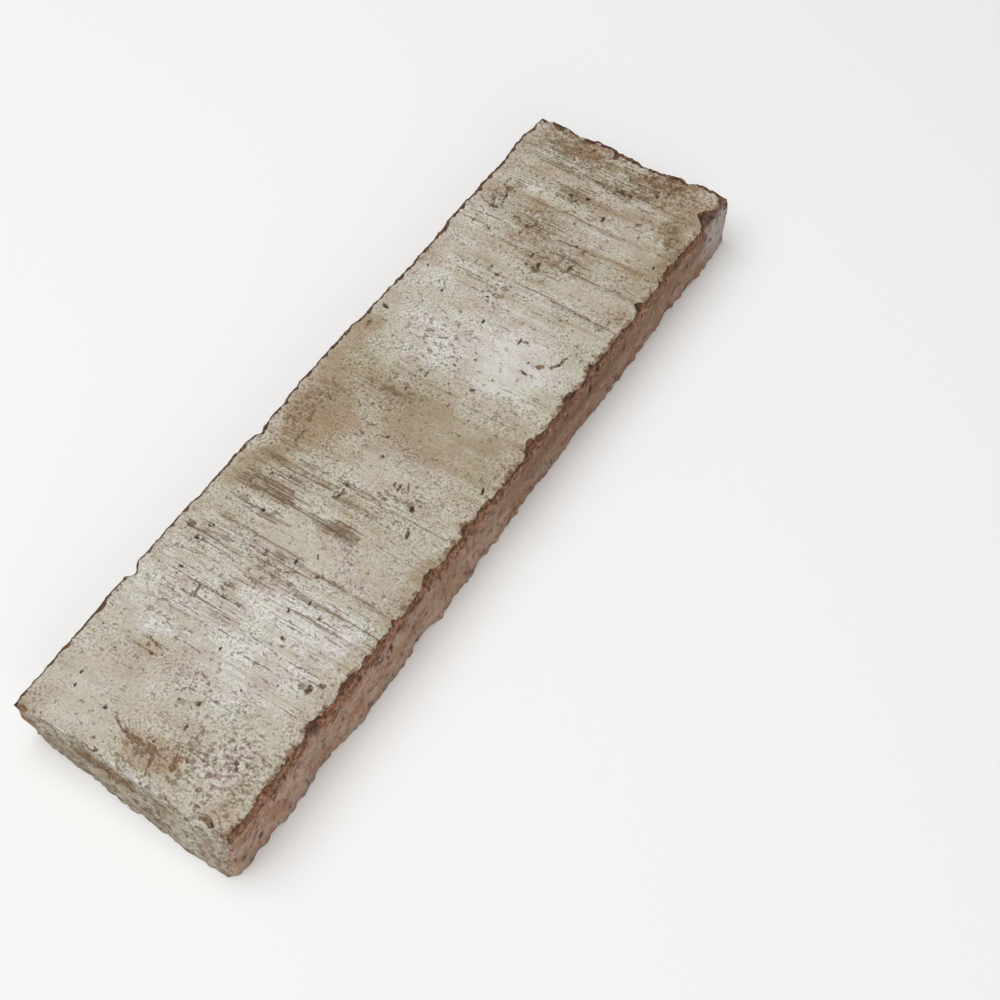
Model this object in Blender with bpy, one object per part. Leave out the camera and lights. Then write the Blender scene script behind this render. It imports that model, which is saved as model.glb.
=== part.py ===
"""A brick slip: one thin piece of fired clay with a pale coat dragged over its face.

The script models it in metres, +Z up. X runs along the brick and Y across it. The flat back, which is bonded
to the wall, lies on z = 0 and the coated face looks up. Near and far are the ends towards -X and +X, right and
left are the long sides towards -Y and +Y.
"""

import math

import bmesh
import bpy

MM = 0.001

# Driving sizes, in millimetres.
FACE_LENGTH = 191.5
FACE_WIDTH = 53.4
THICKNESS = 15.9
TOE = 2.9  # how far the near end leans out at its foot, in the right corner
FOOT_SPREAD = 1.0  # how far the foot of the right side stands out in the near half
BROKEN_ARRIS = 0.5  # the worn edge all round the face
TORN_BAND = 2.4  # height of the rough band under the right arris
TORN_DEPTH = 0.35
FACE_WAVES = 0.45  # the face's gentle highs and lows
END_HOLLOW = 0.6  # depth of the drag mark across the near end
END_MARK_BELOW = 2.5  # how far under the face the drag mark starts, in the left corner
END_MARK_FALL = 4.5  # and how much further it drops by the right corner
END_MARK_HALF = 4.2  # half its height
CORNER_LIP = 0.9  # how far the near end bulges in its left corner
LIP_HEIGHT = 10.5  # where that bulge is fullest, and how far it runs up and down from there
LIP_HALF = 9.5
FAR_BELLY = 0.9  # how far the far end bulges in its right corner
BELLY_HEIGHT = 8.0
BELLY_HALF = 10.0
CORNER_ROUND = 1.4  # how much of the upright near right corner is rounded off
REACH = 9.0  # an edge's offset dies out this far into the brick
PANEL = 2.2  # longest panel side of the mesh on the face
SIDE_PANEL = 3.2  # and down the sides

# Marks on an edge: place along the edge from the brick's middle, half width, and how far it stands out
# (minus where it is bitten in), in millimetres.
RIGHT_ARRIS_MARKS = (
    (-69.1, 2.6, -1.1),
    (-57.5, 3.4, -0.4),
    (-28.5, 3.2, -0.7),
    (-15.2, 2.4, -1.6),
    (-10.2, 2.6, -0.6),
    (9.5, 3.4, -0.9),
    (25.4, 3.8, -1.0),
    (34.3, 2.6, -0.7),
    (56.0, 2.2, -0.9),
    (73.5, 6.0, -0.6),
    (87.7, 3.6, -1.9),
    (94.1, 3.0, -0.8),
)
RIGHT_FOOT_MARKS = (
    (-97.0, 3.0, -0.6),
    (-82.5, 3.0, 0.6),
    (-68.5, 8.5, -1.0),
    (-57.0, 3.2, 0.5),
    (-35.0, 5.5, -0.9),
    (-27.5, 4.0, 0.4),
    (-18.5, 6.5, 0.4),
    (-3.0, 8.0, 0.3),
    (68.5, 11.0, -0.7),
    (97.0, 6.0, -0.8),
)
LEFT_ARRIS_MARKS = (
    (-90.0, 16.0, 0.3),
    (-72.0, 14.0, 0.5),
    (-60.5, 1.9, -1.4),
    (-49.0, 24.0, 1.1),
    (-26.0, 12.0, 0.9),
    (-18.0, 1.8, -0.9),
    (-9.5, 1.5, -0.4),
    (6.0, 30.0, 0.9),
    (59.0, 10.0, 0.6),
    (72.0, 8.0, 0.3),
    (88.0, 9.0, 0.7),
)
FAR_ARRIS_MARKS = (
    (26.7, 2.5, 0.7),
    (20.0, 7.0, 1.1),
    (12.5, 3.0, 0.8),
    (6.0, 9.0, 0.5),
    (-5.5, 5.5, -0.7),
    (-12.5, 4.0, 0.9),
    (-16.0, 1.8, -0.5),
    (-20.0, 8.0, 1.0),
)
NEAR_ARRIS_MARKS = (
    (24.5, 3.5, 0.6),
    (-20.5, 3.0, -0.8),
    (4.0, 9.0, -0.3),
)

# Channels that the drag left across the face: place along the brick, half width, depth, and the two places
# across the brick between which it runs.
DRAG_CHANNELS = (
    (-59.0, 1.3, 0.30, 6.0, 24.0),
    (-40.8, 1.0, 0.40, -27.0, 20.0),
    (-28.6, 2.6, 0.50, -8.0, 26.0),
    (-22.0, 1.2, 0.30, -8.0, 16.0),
    (6.3, 1.3, 0.30, 2.0, 16.0),
    (46.3, 0.9, 0.40, -27.0, 8.0),
    (56.4, 0.9, 0.35, -27.0, -7.0),
    (72.0, 1.4, 0.35, -17.0, 16.0),
    (85.0, 1.6, 0.40, -22.0, 18.0),
)

# Pits that are wide enough to count as shape: place along, place across, radius, depth.
PITS = (
    (-95.0, -20.6, 1.5, 0.9),
    (-63.0, -20.6, 1.8, 0.8),
    (-18.0, -13.7, 1.4, 0.7),
    (19.5, 24.0, 1.5, 0.6),
    (25.0, 24.3, 1.2, 0.9),
    (29.5, -17.5, 2.6, 0.6),
)


def clear_scene():
    for thing in list(bpy.data.objects):
        bpy.data.objects.remove(thing, do_unlink=True)


def bump(offset, half):
    """A smooth hump: 1 where offset is 0, down to 0 at half a width away, (1 - (offset / half)^2)^2."""
    inside = max(0.0, 1.0 - (offset / half) ** 2)
    return inside * inside


def fade(distance, reach):
    """1 at no distance, easing to 0 at the reach."""
    t = min(1.0, max(0.0, distance / reach))
    return 1.0 - t * t * (3.0 - 2.0 * t)


def wander(place, longest, start):
    """An uneven line between -1 and 1: three sine waves whose lengths don't fit into one another."""
    turn = 2.0 * math.pi * place / longest
    return (
        0.55 * math.sin(turn + start)
        + 0.30 * math.sin(2.31 * turn + 1.7 * start)
        + 0.15 * math.sin(4.77 * turn + 2.9 * start)
    )


def marks_at(place, marks):
    return sum(out * bump(place - middle, half) for middle, half, out in marks)


def stations(low, high, longest, extra=()):
    """Even cuts from low to high, no further apart than longest, moved aside where an extra cut is wanted."""
    count = max(2, math.ceil((high - low) / longest))
    even = [low + (high - low) * i / count for i in range(1, count)]
    wanted = sorted(place for place in extra if low < place < high)
    kept = [place for place in even if all(abs(place - other) > 0.3 * longest for other in wanted)]
    return sorted(kept + wanted)


def near_out(across, height):
    """How far the near end stands out.

    It leans out by TOE * (1 - r^1.6) * (1 - h)^0.8, where r is the share of the width from the right corner and
    h the share of the height, so most at the foot of the right corner. A lip, the marks of the arris and the
    hollow of the drag mark are added to that.
    """
    up = height / THICKNESS
    from_right = min(1.0, max(0.0, across / FACE_WIDTH + 0.5))
    lean = TOE * (1.0 - from_right**1.6) * (1.0 - up) ** 0.8
    lip = CORNER_LIP * bump(height - LIP_HEIGHT, LIP_HALF) * fade(FACE_WIDTH / 2 - across, 7.0)
    arris = marks_at(across, NEAR_ARRIS_MARKS) * up**3
    # The drag mark starts at the left corner of the face and drops towards the right.
    mark_height = THICKNESS - END_MARK_BELOW - END_MARK_FALL * (1.0 - from_right)
    hollow = END_HOLLOW * bump(height - mark_height, END_MARK_HALF) * fade(-across - FACE_WIDTH / 4, 12.0)
    return lean + lip + arris - hollow + 0.25 * wander(across, 17.0, 0.8)


def far_out(across, height):
    """The far end: its ragged arris, which fades towards the foot, and a belly in the right corner."""
    up = height / THICKNESS
    belly = FAR_BELLY * bump(height - BELLY_HEIGHT, BELLY_HALF) * fade(across + FACE_WIDTH / 2, 14.0)
    arris = marks_at(across, FAR_ARRIS_MARKS) * (0.35 + 0.65 * up)
    return arris + belly + 0.2 * wander(across + 5.0 * up, 13.0, 2.1)


def left_out(along, height):
    """The left side: its notched arris, whose marks fade towards the foot, and a slight wander."""
    up = height / THICKNESS
    marks = marks_at(along, LEFT_ARRIS_MARKS) * (0.3 + 0.7 * up)
    return marks + 0.18 * wander(along + 9.0 * up, 19.0, 1.2)


def right_out(along, height):
    """The right side: spread at the foot, a rough torn band under the arris, and bites in the arris itself."""
    up = height / THICKNESS
    spread = FOOT_SPREAD * bump(along + 0.3 * FACE_LENGTH, 0.33 * FACE_LENGTH)
    foot = spread + marks_at(along, RIGHT_FOOT_MARKS)
    bites = marks_at(along, RIGHT_ARRIS_MARKS) * fade(THICKNESS - height, 2.2 * TORN_BAND)
    torn = TORN_DEPTH * fade(THICKNESS - height, TORN_BAND) * (0.6 + 0.4 * wander(along, 11.0, 0.4))
    return foot * (1.0 - up) + bites - torn + 0.15 * wander(along + 14.0 * up, 23.0, 2.7)


def face_drop(along, across):
    """How far the face lies under its highest level: waves, drag channels, pits and the broken arris."""
    waves = 0.5 * FACE_WAVES * (1.0 + wander(along + 0.3 * across, 71.0, 0.9) * wander(across, 63.0, 1.9))
    channels = 0.0
    for middle, half, depth, right_end, left_end in DRAG_CHANNELS:
        run = fade(right_end - across, 4.0) * fade(across - left_end, 4.0)
        channels += depth * bump(along - middle, half) * run
    pits = sum(
        depth * bump(math.hypot(along - x, across - y), radius) for x, y, radius, depth in PITS
    )
    to_edge = min(FACE_LENGTH / 2 - abs(along), FACE_WIDTH / 2 - abs(across))
    arris = BROKEN_ARRIS * fade(to_edge, 2.0 * BROKEN_ARRIS) * (1.0 + 0.35 * wander(along + across, 8.5, 0.2))
    return waves + channels + pits + arris


def channel_cuts():
    """Each channel gets a cut along its bottom and one along either shoulder."""
    return [middle + side * half for middle, half, *_ in DRAG_CHANNELS for side in (-1, 0, 1)]


def cut_block():
    """A block of the driving sizes, cut by planes into the panels that the shape functions then move."""
    block = bmesh.new()
    bmesh.ops.create_cube(block, size=1.0)
    bmesh.ops.scale(block, vec=(FACE_LENGTH, FACE_WIDTH, THICKNESS), verts=block.verts)
    bmesh.ops.translate(block, vec=(0.0, 0.0, THICKNESS / 2), verts=block.verts)
    half_length, half_width = FACE_LENGTH / 2, FACE_WIDTH / 2
    arris_cut = 2.0 * BROKEN_ARRIS
    along = stations(-half_length, half_length, PANEL, (arris_cut - half_length, half_length - arris_cut))
    along = sorted(set(along) | set(channel_cuts()))
    along = [x for i, x in enumerate(along) if i == 0 or x - along[i - 1] > 0.15]
    across = stations(-half_width, half_width, PANEL, (arris_cut - half_width, half_width - arris_cut))
    up = stations(0.0, THICKNESS, SIDE_PANEL, (THICKNESS - TORN_BAND, THICKNESS - arris_cut))
    cuts = [((x, 0, 0), (1, 0, 0)) for x in along]
    cuts += [((0, y, 0), (0, 1, 0)) for y in across]
    cuts += [((0, 0, z), (0, 0, 1)) for z in up]
    for point, normal in cuts:
        panels = block.verts[:] + block.edges[:] + block.faces[:]
        bmesh.ops.bisect_plane(block, geom=panels, dist=0.001, plane_co=point, plane_no=normal)
    return block


def shape_block(block):
    """Moves every corner of every panel by the shape functions."""
    for vert in block.verts:
        x, y, z = vert.co
        from_near, from_right = x + FACE_LENGTH / 2, y + FACE_WIDTH / 2
        corner = 0.5 * max(0.0, CORNER_ROUND - from_near - from_right)
        near = near_out(y, z) * fade(from_near, REACH) - corner
        far = far_out(y, z) * fade(FACE_LENGTH / 2 - x, REACH)
        right = right_out(x, z) * fade(from_right, REACH) - corner
        left = left_out(x, z) * fade(FACE_WIDTH / 2 - y, REACH)
        drop = face_drop(x, y) * (z / THICKNESS) ** 2
        vert.co = (x + far - near, y + left - right, z - drop)


def settle(block):
    """Centres the box of the finished shape on the origin and turns millimetres to metres."""
    xs = [vert.co.x for vert in block.verts]
    ys = [vert.co.y for vert in block.verts]
    middle = (-(min(xs) + max(xs)) / 2, -(min(ys) + max(ys)) / 2, 0.0)
    bmesh.ops.translate(block, vec=middle, verts=block.verts)
    bmesh.ops.scale(block, vec=(MM, MM, MM), verts=block.verts)


def coated_clay():
    """Fired clay under a thin, dull, grey-buff coat."""
    material = bpy.data.materials.new("coated_fired_clay")
    material.use_nodes = True
    shader = material.node_tree.nodes["Principled BSDF"]
    shader.inputs["Base Color"].default_value = (0.56, 0.50, 0.42, 1.0)
    shader.inputs["Roughness"].default_value = 0.9
    shader.inputs["Metallic"].default_value = 0.0
    return material


def brick_slip():
    block = cut_block()
    shape_block(block)
    settle(block)
    mesh = bpy.data.meshes.new("brick_slip")
    block.to_mesh(mesh)
    block.free()
    mesh.materials.append(coated_clay())
    slip = bpy.data.objects.new("brick_slip", mesh)
    bpy.context.collection.objects.link(slip)
    return slip


clear_scene()
brick_slip()
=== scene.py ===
"""Looks for a brick slip: thin fired clay with a pale slurry coat that was dragged across its face.

The slip's block is measured in millimetres from the middle of its face: along it (x, far end positive),
across it (y, left side positive) and up from its flat back (z). The mesh is written in metres in the frame of
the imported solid. In the formulas, the second number of a fade or bump is its reach, and those of a cloud are
its cell, its seed and its layers.
"""

import functools
import math

import bpy
import numpy as np
from mathutils import Matrix, Vector


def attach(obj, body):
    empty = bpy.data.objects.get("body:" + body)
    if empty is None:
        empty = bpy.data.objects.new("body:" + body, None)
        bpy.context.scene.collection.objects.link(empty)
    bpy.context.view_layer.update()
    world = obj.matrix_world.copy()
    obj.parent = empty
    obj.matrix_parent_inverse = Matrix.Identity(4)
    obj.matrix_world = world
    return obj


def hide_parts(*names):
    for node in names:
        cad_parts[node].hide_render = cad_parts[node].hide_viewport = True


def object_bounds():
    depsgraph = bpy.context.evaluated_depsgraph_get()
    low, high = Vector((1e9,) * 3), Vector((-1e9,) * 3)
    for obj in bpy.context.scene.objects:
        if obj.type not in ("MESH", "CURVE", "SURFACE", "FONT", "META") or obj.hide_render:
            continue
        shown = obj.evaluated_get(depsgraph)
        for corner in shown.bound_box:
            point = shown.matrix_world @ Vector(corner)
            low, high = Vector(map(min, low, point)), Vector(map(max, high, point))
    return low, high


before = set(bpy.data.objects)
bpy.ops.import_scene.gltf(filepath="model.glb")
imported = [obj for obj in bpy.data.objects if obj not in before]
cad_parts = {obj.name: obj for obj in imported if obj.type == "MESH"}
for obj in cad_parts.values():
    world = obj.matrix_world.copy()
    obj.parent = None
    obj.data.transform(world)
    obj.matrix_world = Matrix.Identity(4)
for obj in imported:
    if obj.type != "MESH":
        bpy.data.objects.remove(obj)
cad_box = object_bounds()
NODE = "brick_slip"
MM = 0.001

# The block, as in the solid.
FACE_LENGTH = 191.5
FACE_WIDTH = 53.4
THICKNESS = 15.9
TOE = 2.9
FOOT_SPREAD = 1.0
BROKEN_ARRIS = 0.5
TORN_BAND = 2.4
TORN_DEPTH = 0.35
FACE_WAVES = 0.45
END_HOLLOW = 0.6
END_MARK_BELOW = 2.5
END_MARK_FALL = 4.5
END_MARK_HALF = 4.2
CORNER_LIP = 0.9
LIP_HEIGHT = 10.5
LIP_HALF = 9.5
FAR_BELLY = 0.9
BELLY_HEIGHT = 8.0
BELLY_HALF = 10.0
CORNER_ROUND = 1.4
GROOVE_DEPTH = 0.45  # the shallow brown groove along the near end
GROOVE_HEIGHT = 9.8
GROOVE_HALF = 2.4
REACH = 9.0  # an edge's offset dies out this far into the brick
FACE_MIDDLE = (0.773, 0.145)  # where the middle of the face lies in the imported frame, in mm

# Mesh steps: fine along the face, where the drag lines are narrow, and fine near the arrises.
STEP_ALONG = 0.40
STEP_ACROSS = 0.45
STEP_FINE = 0.36
FINE_MARGIN = 4.0
STEP_UP = 0.75
ON_WALL = 0.2  # a point this near a wall of the block, or nearer, is on it
FLOOR_HALF = 6.0  # metres

# The camera of the photograph, from the corners of the face: its place from the middle of the face, in mm,
# its angles and its lens.
CAMERA_PLACE = (-152.18, -137.43, 275.29)
VIEW_AZIMUTH = -53.30
VIEW_ELEVATION = 56.44
VIEW_ROLL = 3.95
LENS = 56.45

# Marks on an edge, as in the solid: place from the middle, half width, how far it stands out (minus where it
# is bitten in).
RIGHT_ARRIS_MARKS = (
    (-69.1, 2.6, -1.1),
    (-57.5, 3.4, -0.4),
    (-28.5, 3.2, -0.7),
    (-15.2, 2.4, -1.6),
    (-10.2, 2.6, -0.6),
    (9.5, 3.4, -0.9),
    (25.4, 3.8, -1),
    (34.3, 2.6, -0.7),
    (56, 2.2, -0.9),
    (73.5, 6, -0.6),
    (87.7, 3.6, -1.9),
    (94.1, 3, -0.8),
)
RIGHT_FOOT_MARKS = (
    (-97, 3, -0.6),
    (-82.5, 3, 0.6),
    (-68.5, 8.5, -1),
    (-57, 3.2, 0.5),
    (-35, 5.5, -0.9),
    (-27.5, 4, 0.4),
    (-18.5, 6.5, 0.4),
    (-3, 8, 0.3),
    (68.5, 11, -0.7),
    (97, 6, -0.8),
)
LEFT_ARRIS_MARKS = (
    (-90, 16, 0.3),
    (-72, 14, 0.5),
    (-60.5, 1.9, -1.4),
    (-49, 24, 1.1),
    (-26, 12, 0.9),
    (-18, 1.8, -0.9),
    (-9.5, 1.5, -0.4),
    (6, 30, 0.9),
    (59, 10, 0.6),
    (72, 8, 0.3),
    (88, 9, 0.7),
)
FAR_ARRIS_MARKS = (
    (26.7, 2.5, 0.7),
    (20, 7, 1.1),
    (12.5, 3, 0.8),
    (6, 9, 0.5),
    (-5.5, 5.5, -0.7),
    (-12.5, 4, 0.9),
    (-16, 1.8, -0.5),
    (-20, 8, 1),
)
NEAR_ARRIS_MARKS = (
    (24.5, 3.5, 0.6),
    (-20.5, 3, -0.8),
    (4, 9, -0.3),
)
# Drag channels of the face, as in the solid: place along, half width, depth, and from and to across.
DRAG_CHANNELS = (
    (-59, 1.3, 0.3, 6, 24),
    (-40.8, 1, 0.4, -27, 20),
    (-28.6, 2.6, 0.5, -8, 26),
    (-22, 1.2, 0.3, -8, 16),
    (6.3, 1.3, 0.3, 2, 16),
    (46.3, 0.9, 0.4, -27, 8),
    (56.4, 0.9, 0.35, -27, -7),
    (72, 1.4, 0.35, -17, 16),
    (85, 1.6, 0.4, -22, 18),
)

# Brown drag lines on the face: place along, from and to across, width, strength, and how orange (0 to 1).
DRAG_LINES = (
    (-74.7, -14, -5, 0.5, 0.35, 0),
    (-73, 10, 15.5, 0.7, 0.7, 0.9),
    (-72.8, 15.5, 25.5, 0.4, 0.45, 0.3),
    (-72, -13, -5, 0.5, 0.3, 0),
    (-70.8, 9, 15, 0.9, 0.6, 0.9),
    (-67.3, -25, -14, 0.6, 0.35, 0.2),
    (-66.6, -8, 0, 0.4, 0.35, 0.2),
    (-65.4, 13, 20, 0.5, 0.4, 0.2),
    (-63.7, -9, -6, 0.8, 0.45, 0),
    (-62.6, 10, 20, 1, 0.5, 0.3),
    (-60, -5, 6, 0.5, 0.35, 0.1),
    (-59.3, 3, 12.5, 0.4, 0.25, 0.1),
    (-58.2, -1, 12, 0.4, 0.38, 0.2),
    (-57.4, -3, 8, 0.4, 0.42, 0.4),
    (-55.3, 1, 13.5, 0.3, 0.35, 0),
    (-55, -26, -4, 0.5, 0.3, 0.1),
    (-54, 3, 13, 0.4, 0.45, 0),
    (-53.3, 15, 21, 0.5, 0.6, 0.2),
    (-50.1, -27, -8, 0.5, 0.4, 0.1),
    (-49.5, 13, 19, 0.8, 0.55, 0.3),
    (-48.4, -2, 10, 0.4, 0.35, 0.1),
    (-47, 18.5, 22, 0.7, 0.6, 0),
    (-46.4, -27, 1, 0.9, 0.55, 0.5),
    (-45.6, 0, 11, 0.8, 0.55, 0.5),
    (-45.1, 10, 24.5, 0.8, 0.6, 0.5),
    (-43.6, -21, -15, 1, 0.5, 0.2),
    (-42.6, -4, 10.5, 0.6, 0.65, 0.1),
    (-41.7, 2, 17, 0.6, 0.45, 0.3),
    (-41.2, -27, -21, 1.3, 0.7, 0.9),
    (-40.8, -20.5, 4, 1.1, 0.9, 0.3),
    (-39.7, -2, 20, 1.4, 0.8, 0.4),
    (-35.6, 9, 21, 0.5, 0.5, 0.1),
    (-34.5, 6, 18.5, 1, 0.75, 0.1),
    (-31.6, -8, 1, 0.6, 0.8, 0.1),
    (-30.9, 9, 22.5, 0.7, 0.85, 0.1),
    (-30.7, -8, 2, 0.8, 0.9, 0.1),
    (-30.1, -8, 22, 0.6, 0.9, 0.2),
    (-29.6, 7, 22.5, 0.6, 0.85, 0.1),
    (-29.3, -8, 4, 1.2, 0.9, 0.2),
    (-28.9, -25, -16, 0.9, 0.5, 0.3),
    (-28.6, 10, 22, 0.7, 0.9, 0.1),
    (-27.9, 5.5, 20, 0.9, 0.85, 0.1),
    (-27.9, -8, -1, 0.7, 0.75, 0.1),
    (-27.1, 10.5, 21.5, 1, 0.9, 0.2),
    (-26.3, 8, 20, 0.5, 0.5, 0.1),
    (-26.4, -26, -9, 0.6, 0.4, 0.3),
    (-25.3, 10, 22, 0.4, 0.45, 0.1),
    (-24.4, 8, 22, 0.5, 0.6, 0.1),
    (-23.9, -12, 2, 0.4, 0.45, 0.1),
    (-23.1, -8, 1.5, 1, 0.75, 0.3),
    (-22.6, 8, 17, 0.5, 0.55, 0.1),
    (-22.4, 4.5, 12, 1.1, 0.7, 0.2),
    (-21.4, 5, 22, 0.5, 0.6, 0.1),
    (-20, -24, -10, 0.7, 0.6, 0.4),
    (-19.7, -8, 14, 0.6, 0.65, 0.1),
    (-19.1, -4, 4, 0.5, 0.65, 0.1),
    (-17.8, 12, 21, 0.4, 0.5, 0.1),
    (-17.1, 14, 25, 0.6, 0.65, 0.1),
    (-15, 17, 24, 0.4, 0.4, 0.1),
    (-3, 14, 22, 0.5, 0.45, 0),
    (0.2, 17, 23, 0.4, 0.4, 0),
    (0.9, 17, 23, 0.4, 0.4, 0),
    (4.6, 4, 12, 0.6, 0.45, 0.1),
    (6.1, 4, 16, 0.8, 0.6, 0.1),
    (6.8, 3, 14, 0.5, 0.7, 0.1),
    (11.3, -20.5, -8, 0.5, 0.5, 0.4),
    (12, -5, 2, 0.5, 0.5, 0.1),
    (12.3, 4, 11.5, 0.5, 0.6, 0.1),
    (20.1, -24.5, -20, 0.4, 0.5, 0),
    (41.2, -14, -6, 0.5, 0.6, 0.2),
    (46.2, -27, -18, 0.9, 0.7, 0.8),
    (46.5, -18, -8, 0.6, 0.9, 0.2),
    (46.8, -9, 10, 0.6, 0.75, 0.4),
    (47.2, 10, 19, 0.4, 0.35, 0.3),
    (52.2, -6, 4, 0.6, 0.45, 0.4),
    (56.2, -18, -7.5, 0.5, 0.85, 0.2),
    (56.6, -27, -17, 0.6, 0.75, 0.7),
    (57.8, -24, -18, 0.6, 0.55, 0.2),
    (58.5, 11, 26, 0.6, 0.6, 0),
    (58, 4, 11, 0.6, 0.5, 0.3),
    (59.4, -7, 2, 0.5, 0.45, 0.6),
    (60.3, -23, -19, 0.7, 0.45, 0.6),
    (61.4, -5, 5, 0.6, 0.4, 0.1),
    (63.3, -9.5, 0, 1.3, 0.75, 0.3),
    (64, -21, -17, 0.9, 0.6, 0.7),
    (71.6, -12, 0, 1, 0.5, 0.9),
    (71.9, 0, 15, 1, 0.6, 0.2),
    (71.3, -20, -12, 0.9, 0.3, 0.6),
    (79.6, -15, -8, 0.5, 0.4, 0.5),
    (82, -14, -2, 0.5, 0.5, 0.1),
    (83.8, 10, 18, 0.5, 0.4, 0.1),
    (84.6, -6, 2, 1.4, 0.7, 0.5),
    (84.8, 3, 16, 0.7, 0.6, 0.3),
    (85, -15, -9, 1.2, 0.75, 0.5),
    (84.6, -24, -15, 0.8, 0.6, 0.5),
    (86.2, -4, 5, 0.7, 0.6, 0.4),
    (86.6, 8, 16, 0.7, 0.55, 0.1),
    (87, 19, 26, 0.8, 0.8, 0.3),
    (88.3, 12, 23, 0.8, 0.45, 0.1),
    (90.2, 12, 22, 0.9, 0.45, 0.1),
)

# Areas of the face where the drag left many hairlines: middle, half sizes and density.
HAIRLINE_AREAS = (
    (-59, 8, 12, 17, 0.6),
    (-58, -14, 16, 16, 0.6),
    (-48, 18, 14, 12, 0.5),
    (-46, 0, 8, 30, 0.75),
    (-36, 14, 6, 13, 0.45),
    (-28.5, 14, 4.5, 11, 1.0),
    (-29.5, -3.5, 4, 6, 1.0),
    (-22, 11, 5, 13, 0.8),
    (-22, -8, 6, 16, 0.45),
    (4, 14, 6, 12, 0.35),
    (44, 0, 9, 34, 0.45),
    (60, 2, 12, 34, 0.65),
    (75, 4, 12, 32, 0.55),
    (87, 2, 10, 30, 0.75),
)

# Whiter (plus), tanner (minus) and brown (under -1) areas of the coat: middle, half sizes and amount.
COAT_TINTS = (
    (-58, -8, 24, 36, 0.8),
    (-66, -4, 10, 24, 0.25),
    (-56, 20, 20, 16, 0.45),
    (-67, 18, 10, 16, 0.3),
    (-47, -8, 8, 26, 0.15),
    (-57, 15, 9, 6, -0.3),
    (-53, 7, 3.5, 4, -0.5),
    (-62, -26, 16, 5, -0.35),
    (-84, 14, 18, 20, 0.3),
    (-76, -2, 12, 14, 0.25),
    (-90, 23, 12, 6, -0.25),
    (-90, -2, 6, 9, -0.5),
    (-35, -2, 7, 26, 0.3),
    (-16, -4, 9, 9, 0.25),
    (-24, -20, 12, 10, 0.15),
    (-27, 22, 14, 9, -0.55),
    (-13, 21, 16, 9, -0.75),
    (-10, 12, 10, 9, -0.5),
    (4, 20, 17, 14, -0.6),
    (0, 4, 16, 18, -0.4),
    (3, -9, 16, 20, -0.5),
    (3, -22, 16, 14, -0.35),
    (10, 4, 9, 16, -0.25),
    (26, -7, 15, 26, 0.8),
    (21, -13, 8, 12, 0.3),
    (28, -4, 10, 8, 0.25),
    (22, 12, 14, 16, 0.45),
    (32, 18, 20, 14, 0.3),
    (42, 0, 14, 34, 0.35),
    (50, 16, 13, 14, 0.25),
    (19, 24, 8, 4, -0.6),
    (44, 25, 9, 3.5, -0.6),
    (57, -1, 12, 12, -0.5),
    (64, 9, 11, 9, -0.35),
    (71, 20, 10, 7, -0.35),
    (77, 1, 8, 12, -0.55),
    (59, 17, 10, 12, 0.25),
    (67, -7, 5, 11, 0.3),
    (76, -14, 8, 10, -0.25),
    (74, -24, 16, 7, -0.9),
    (48, -24, 7, 5, -0.45),
    (46, 14, 10, 9, -0.45),
    (20, 20, 8, 6, -0.3),
    (60, 15, 8, 11, -0.45),
    (-8, -24, 18, 4, -0.35),
    (84, 9, 5, 8, 0.45),
    (-49, 13, 8, 7, 0.3),
    (3, 12, 8, 7, 0.3),
    (88, 4, 10, 34, -0.35),
    (84, -8, 5, 20, 0.35),
    (-12, 25, 7, 4, 0.9),
    (-70, 8, 7, 7, -0.6),
    (-25, 23, 8, 4, -0.3),
    (76, -3, 5, 14, -0.25),
    (-84, -15, 9, 9, 0.75),
    (-52, -15, 6, 9, 0.5),
    (66, -22, 10, 7, -0.35),
    (-36, -25, 34, 4, -0.5),
    (-24, -3, 9, 7, -0.25),
    (87, -20, 13, 16, -0.6),
    (94, -10, 6, 14, -0.4),
    (94, 13, 6, 10, -0.4),
    (60, 9, 8, 7, -0.25),
    (64, -17, 9, 6, -0.55),
    (20, -2, 5, 8, -0.25),
)

# Areas where the coat has taken on the clay's orange: middle, half sizes and amount.
ORANGE_AREAS = (
    (-10, 13, 10, 9, 0.9),
    (-90, -2, 6, 10, 0.8),
    (-84, -14, 12, 13, 0.5),
    (-94, 24, 7, 5, 0.6),
    (-91, -23, 12, 6, 0.5),
    (-72, 11, 4, 5, 0.7),
    (-50, 24, 20, 5, 0.4),
    (-42, -22, 6, 7, 0.45),
    (-5, 24, 26, 6, 0.55),
    (0, -6, 12, 22, 0.3),
    (18, 24, 10, 5, 0.5),
    (93, 11, 6, 9, 0.7),
    (93, -12, 6, 14, 0.6),
    (88, -22, 12, 8, 0.5),
    (90, 24, 9, 5, 0.6),
)

# Areas that are worn and mottled brown: middle, half sizes and amount.
WORN_AREAS = (
    (-87, -9, 10, 7, 0.9),
    (-84, -17, 14, 12, 0.65),
    (-90, -22, 11, 6, 0.6),
    (-91, 2, 6, 7, 0.4),
    (-76, -1, 9, 7, 0.35),
    (-60, 15, 9, 8, 0.4),
    (-46, 3, 10, 10, 0.35),
    (-17, -11, 7, 7, 0.55),
    (-22, 1.5, 5, 4, 0.6),
    (-8, 20, 14, 6, 0.55),
    (6, 7, 12, 10, 0.4),
    (24, 10, 12, 12, 0.45),
    (42, 6, 7, 6, 0.5),
    (56, -1.5, 8, 9, 0.6),
    (64, 8, 9, 8, 0.7),
    (68, 19, 10, 6, 0.6),
    (77, 4, 7, 8, 0.7),
    (77, -23, 9, 6, 0.8),
    (91, -14, 11, 18, 1.15),
    (92, 13, 9, 20, 0.9),
    (85, -8, 4, 18, 0.9),
    (48, -24, 6, 5, 0.5),
)

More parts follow.
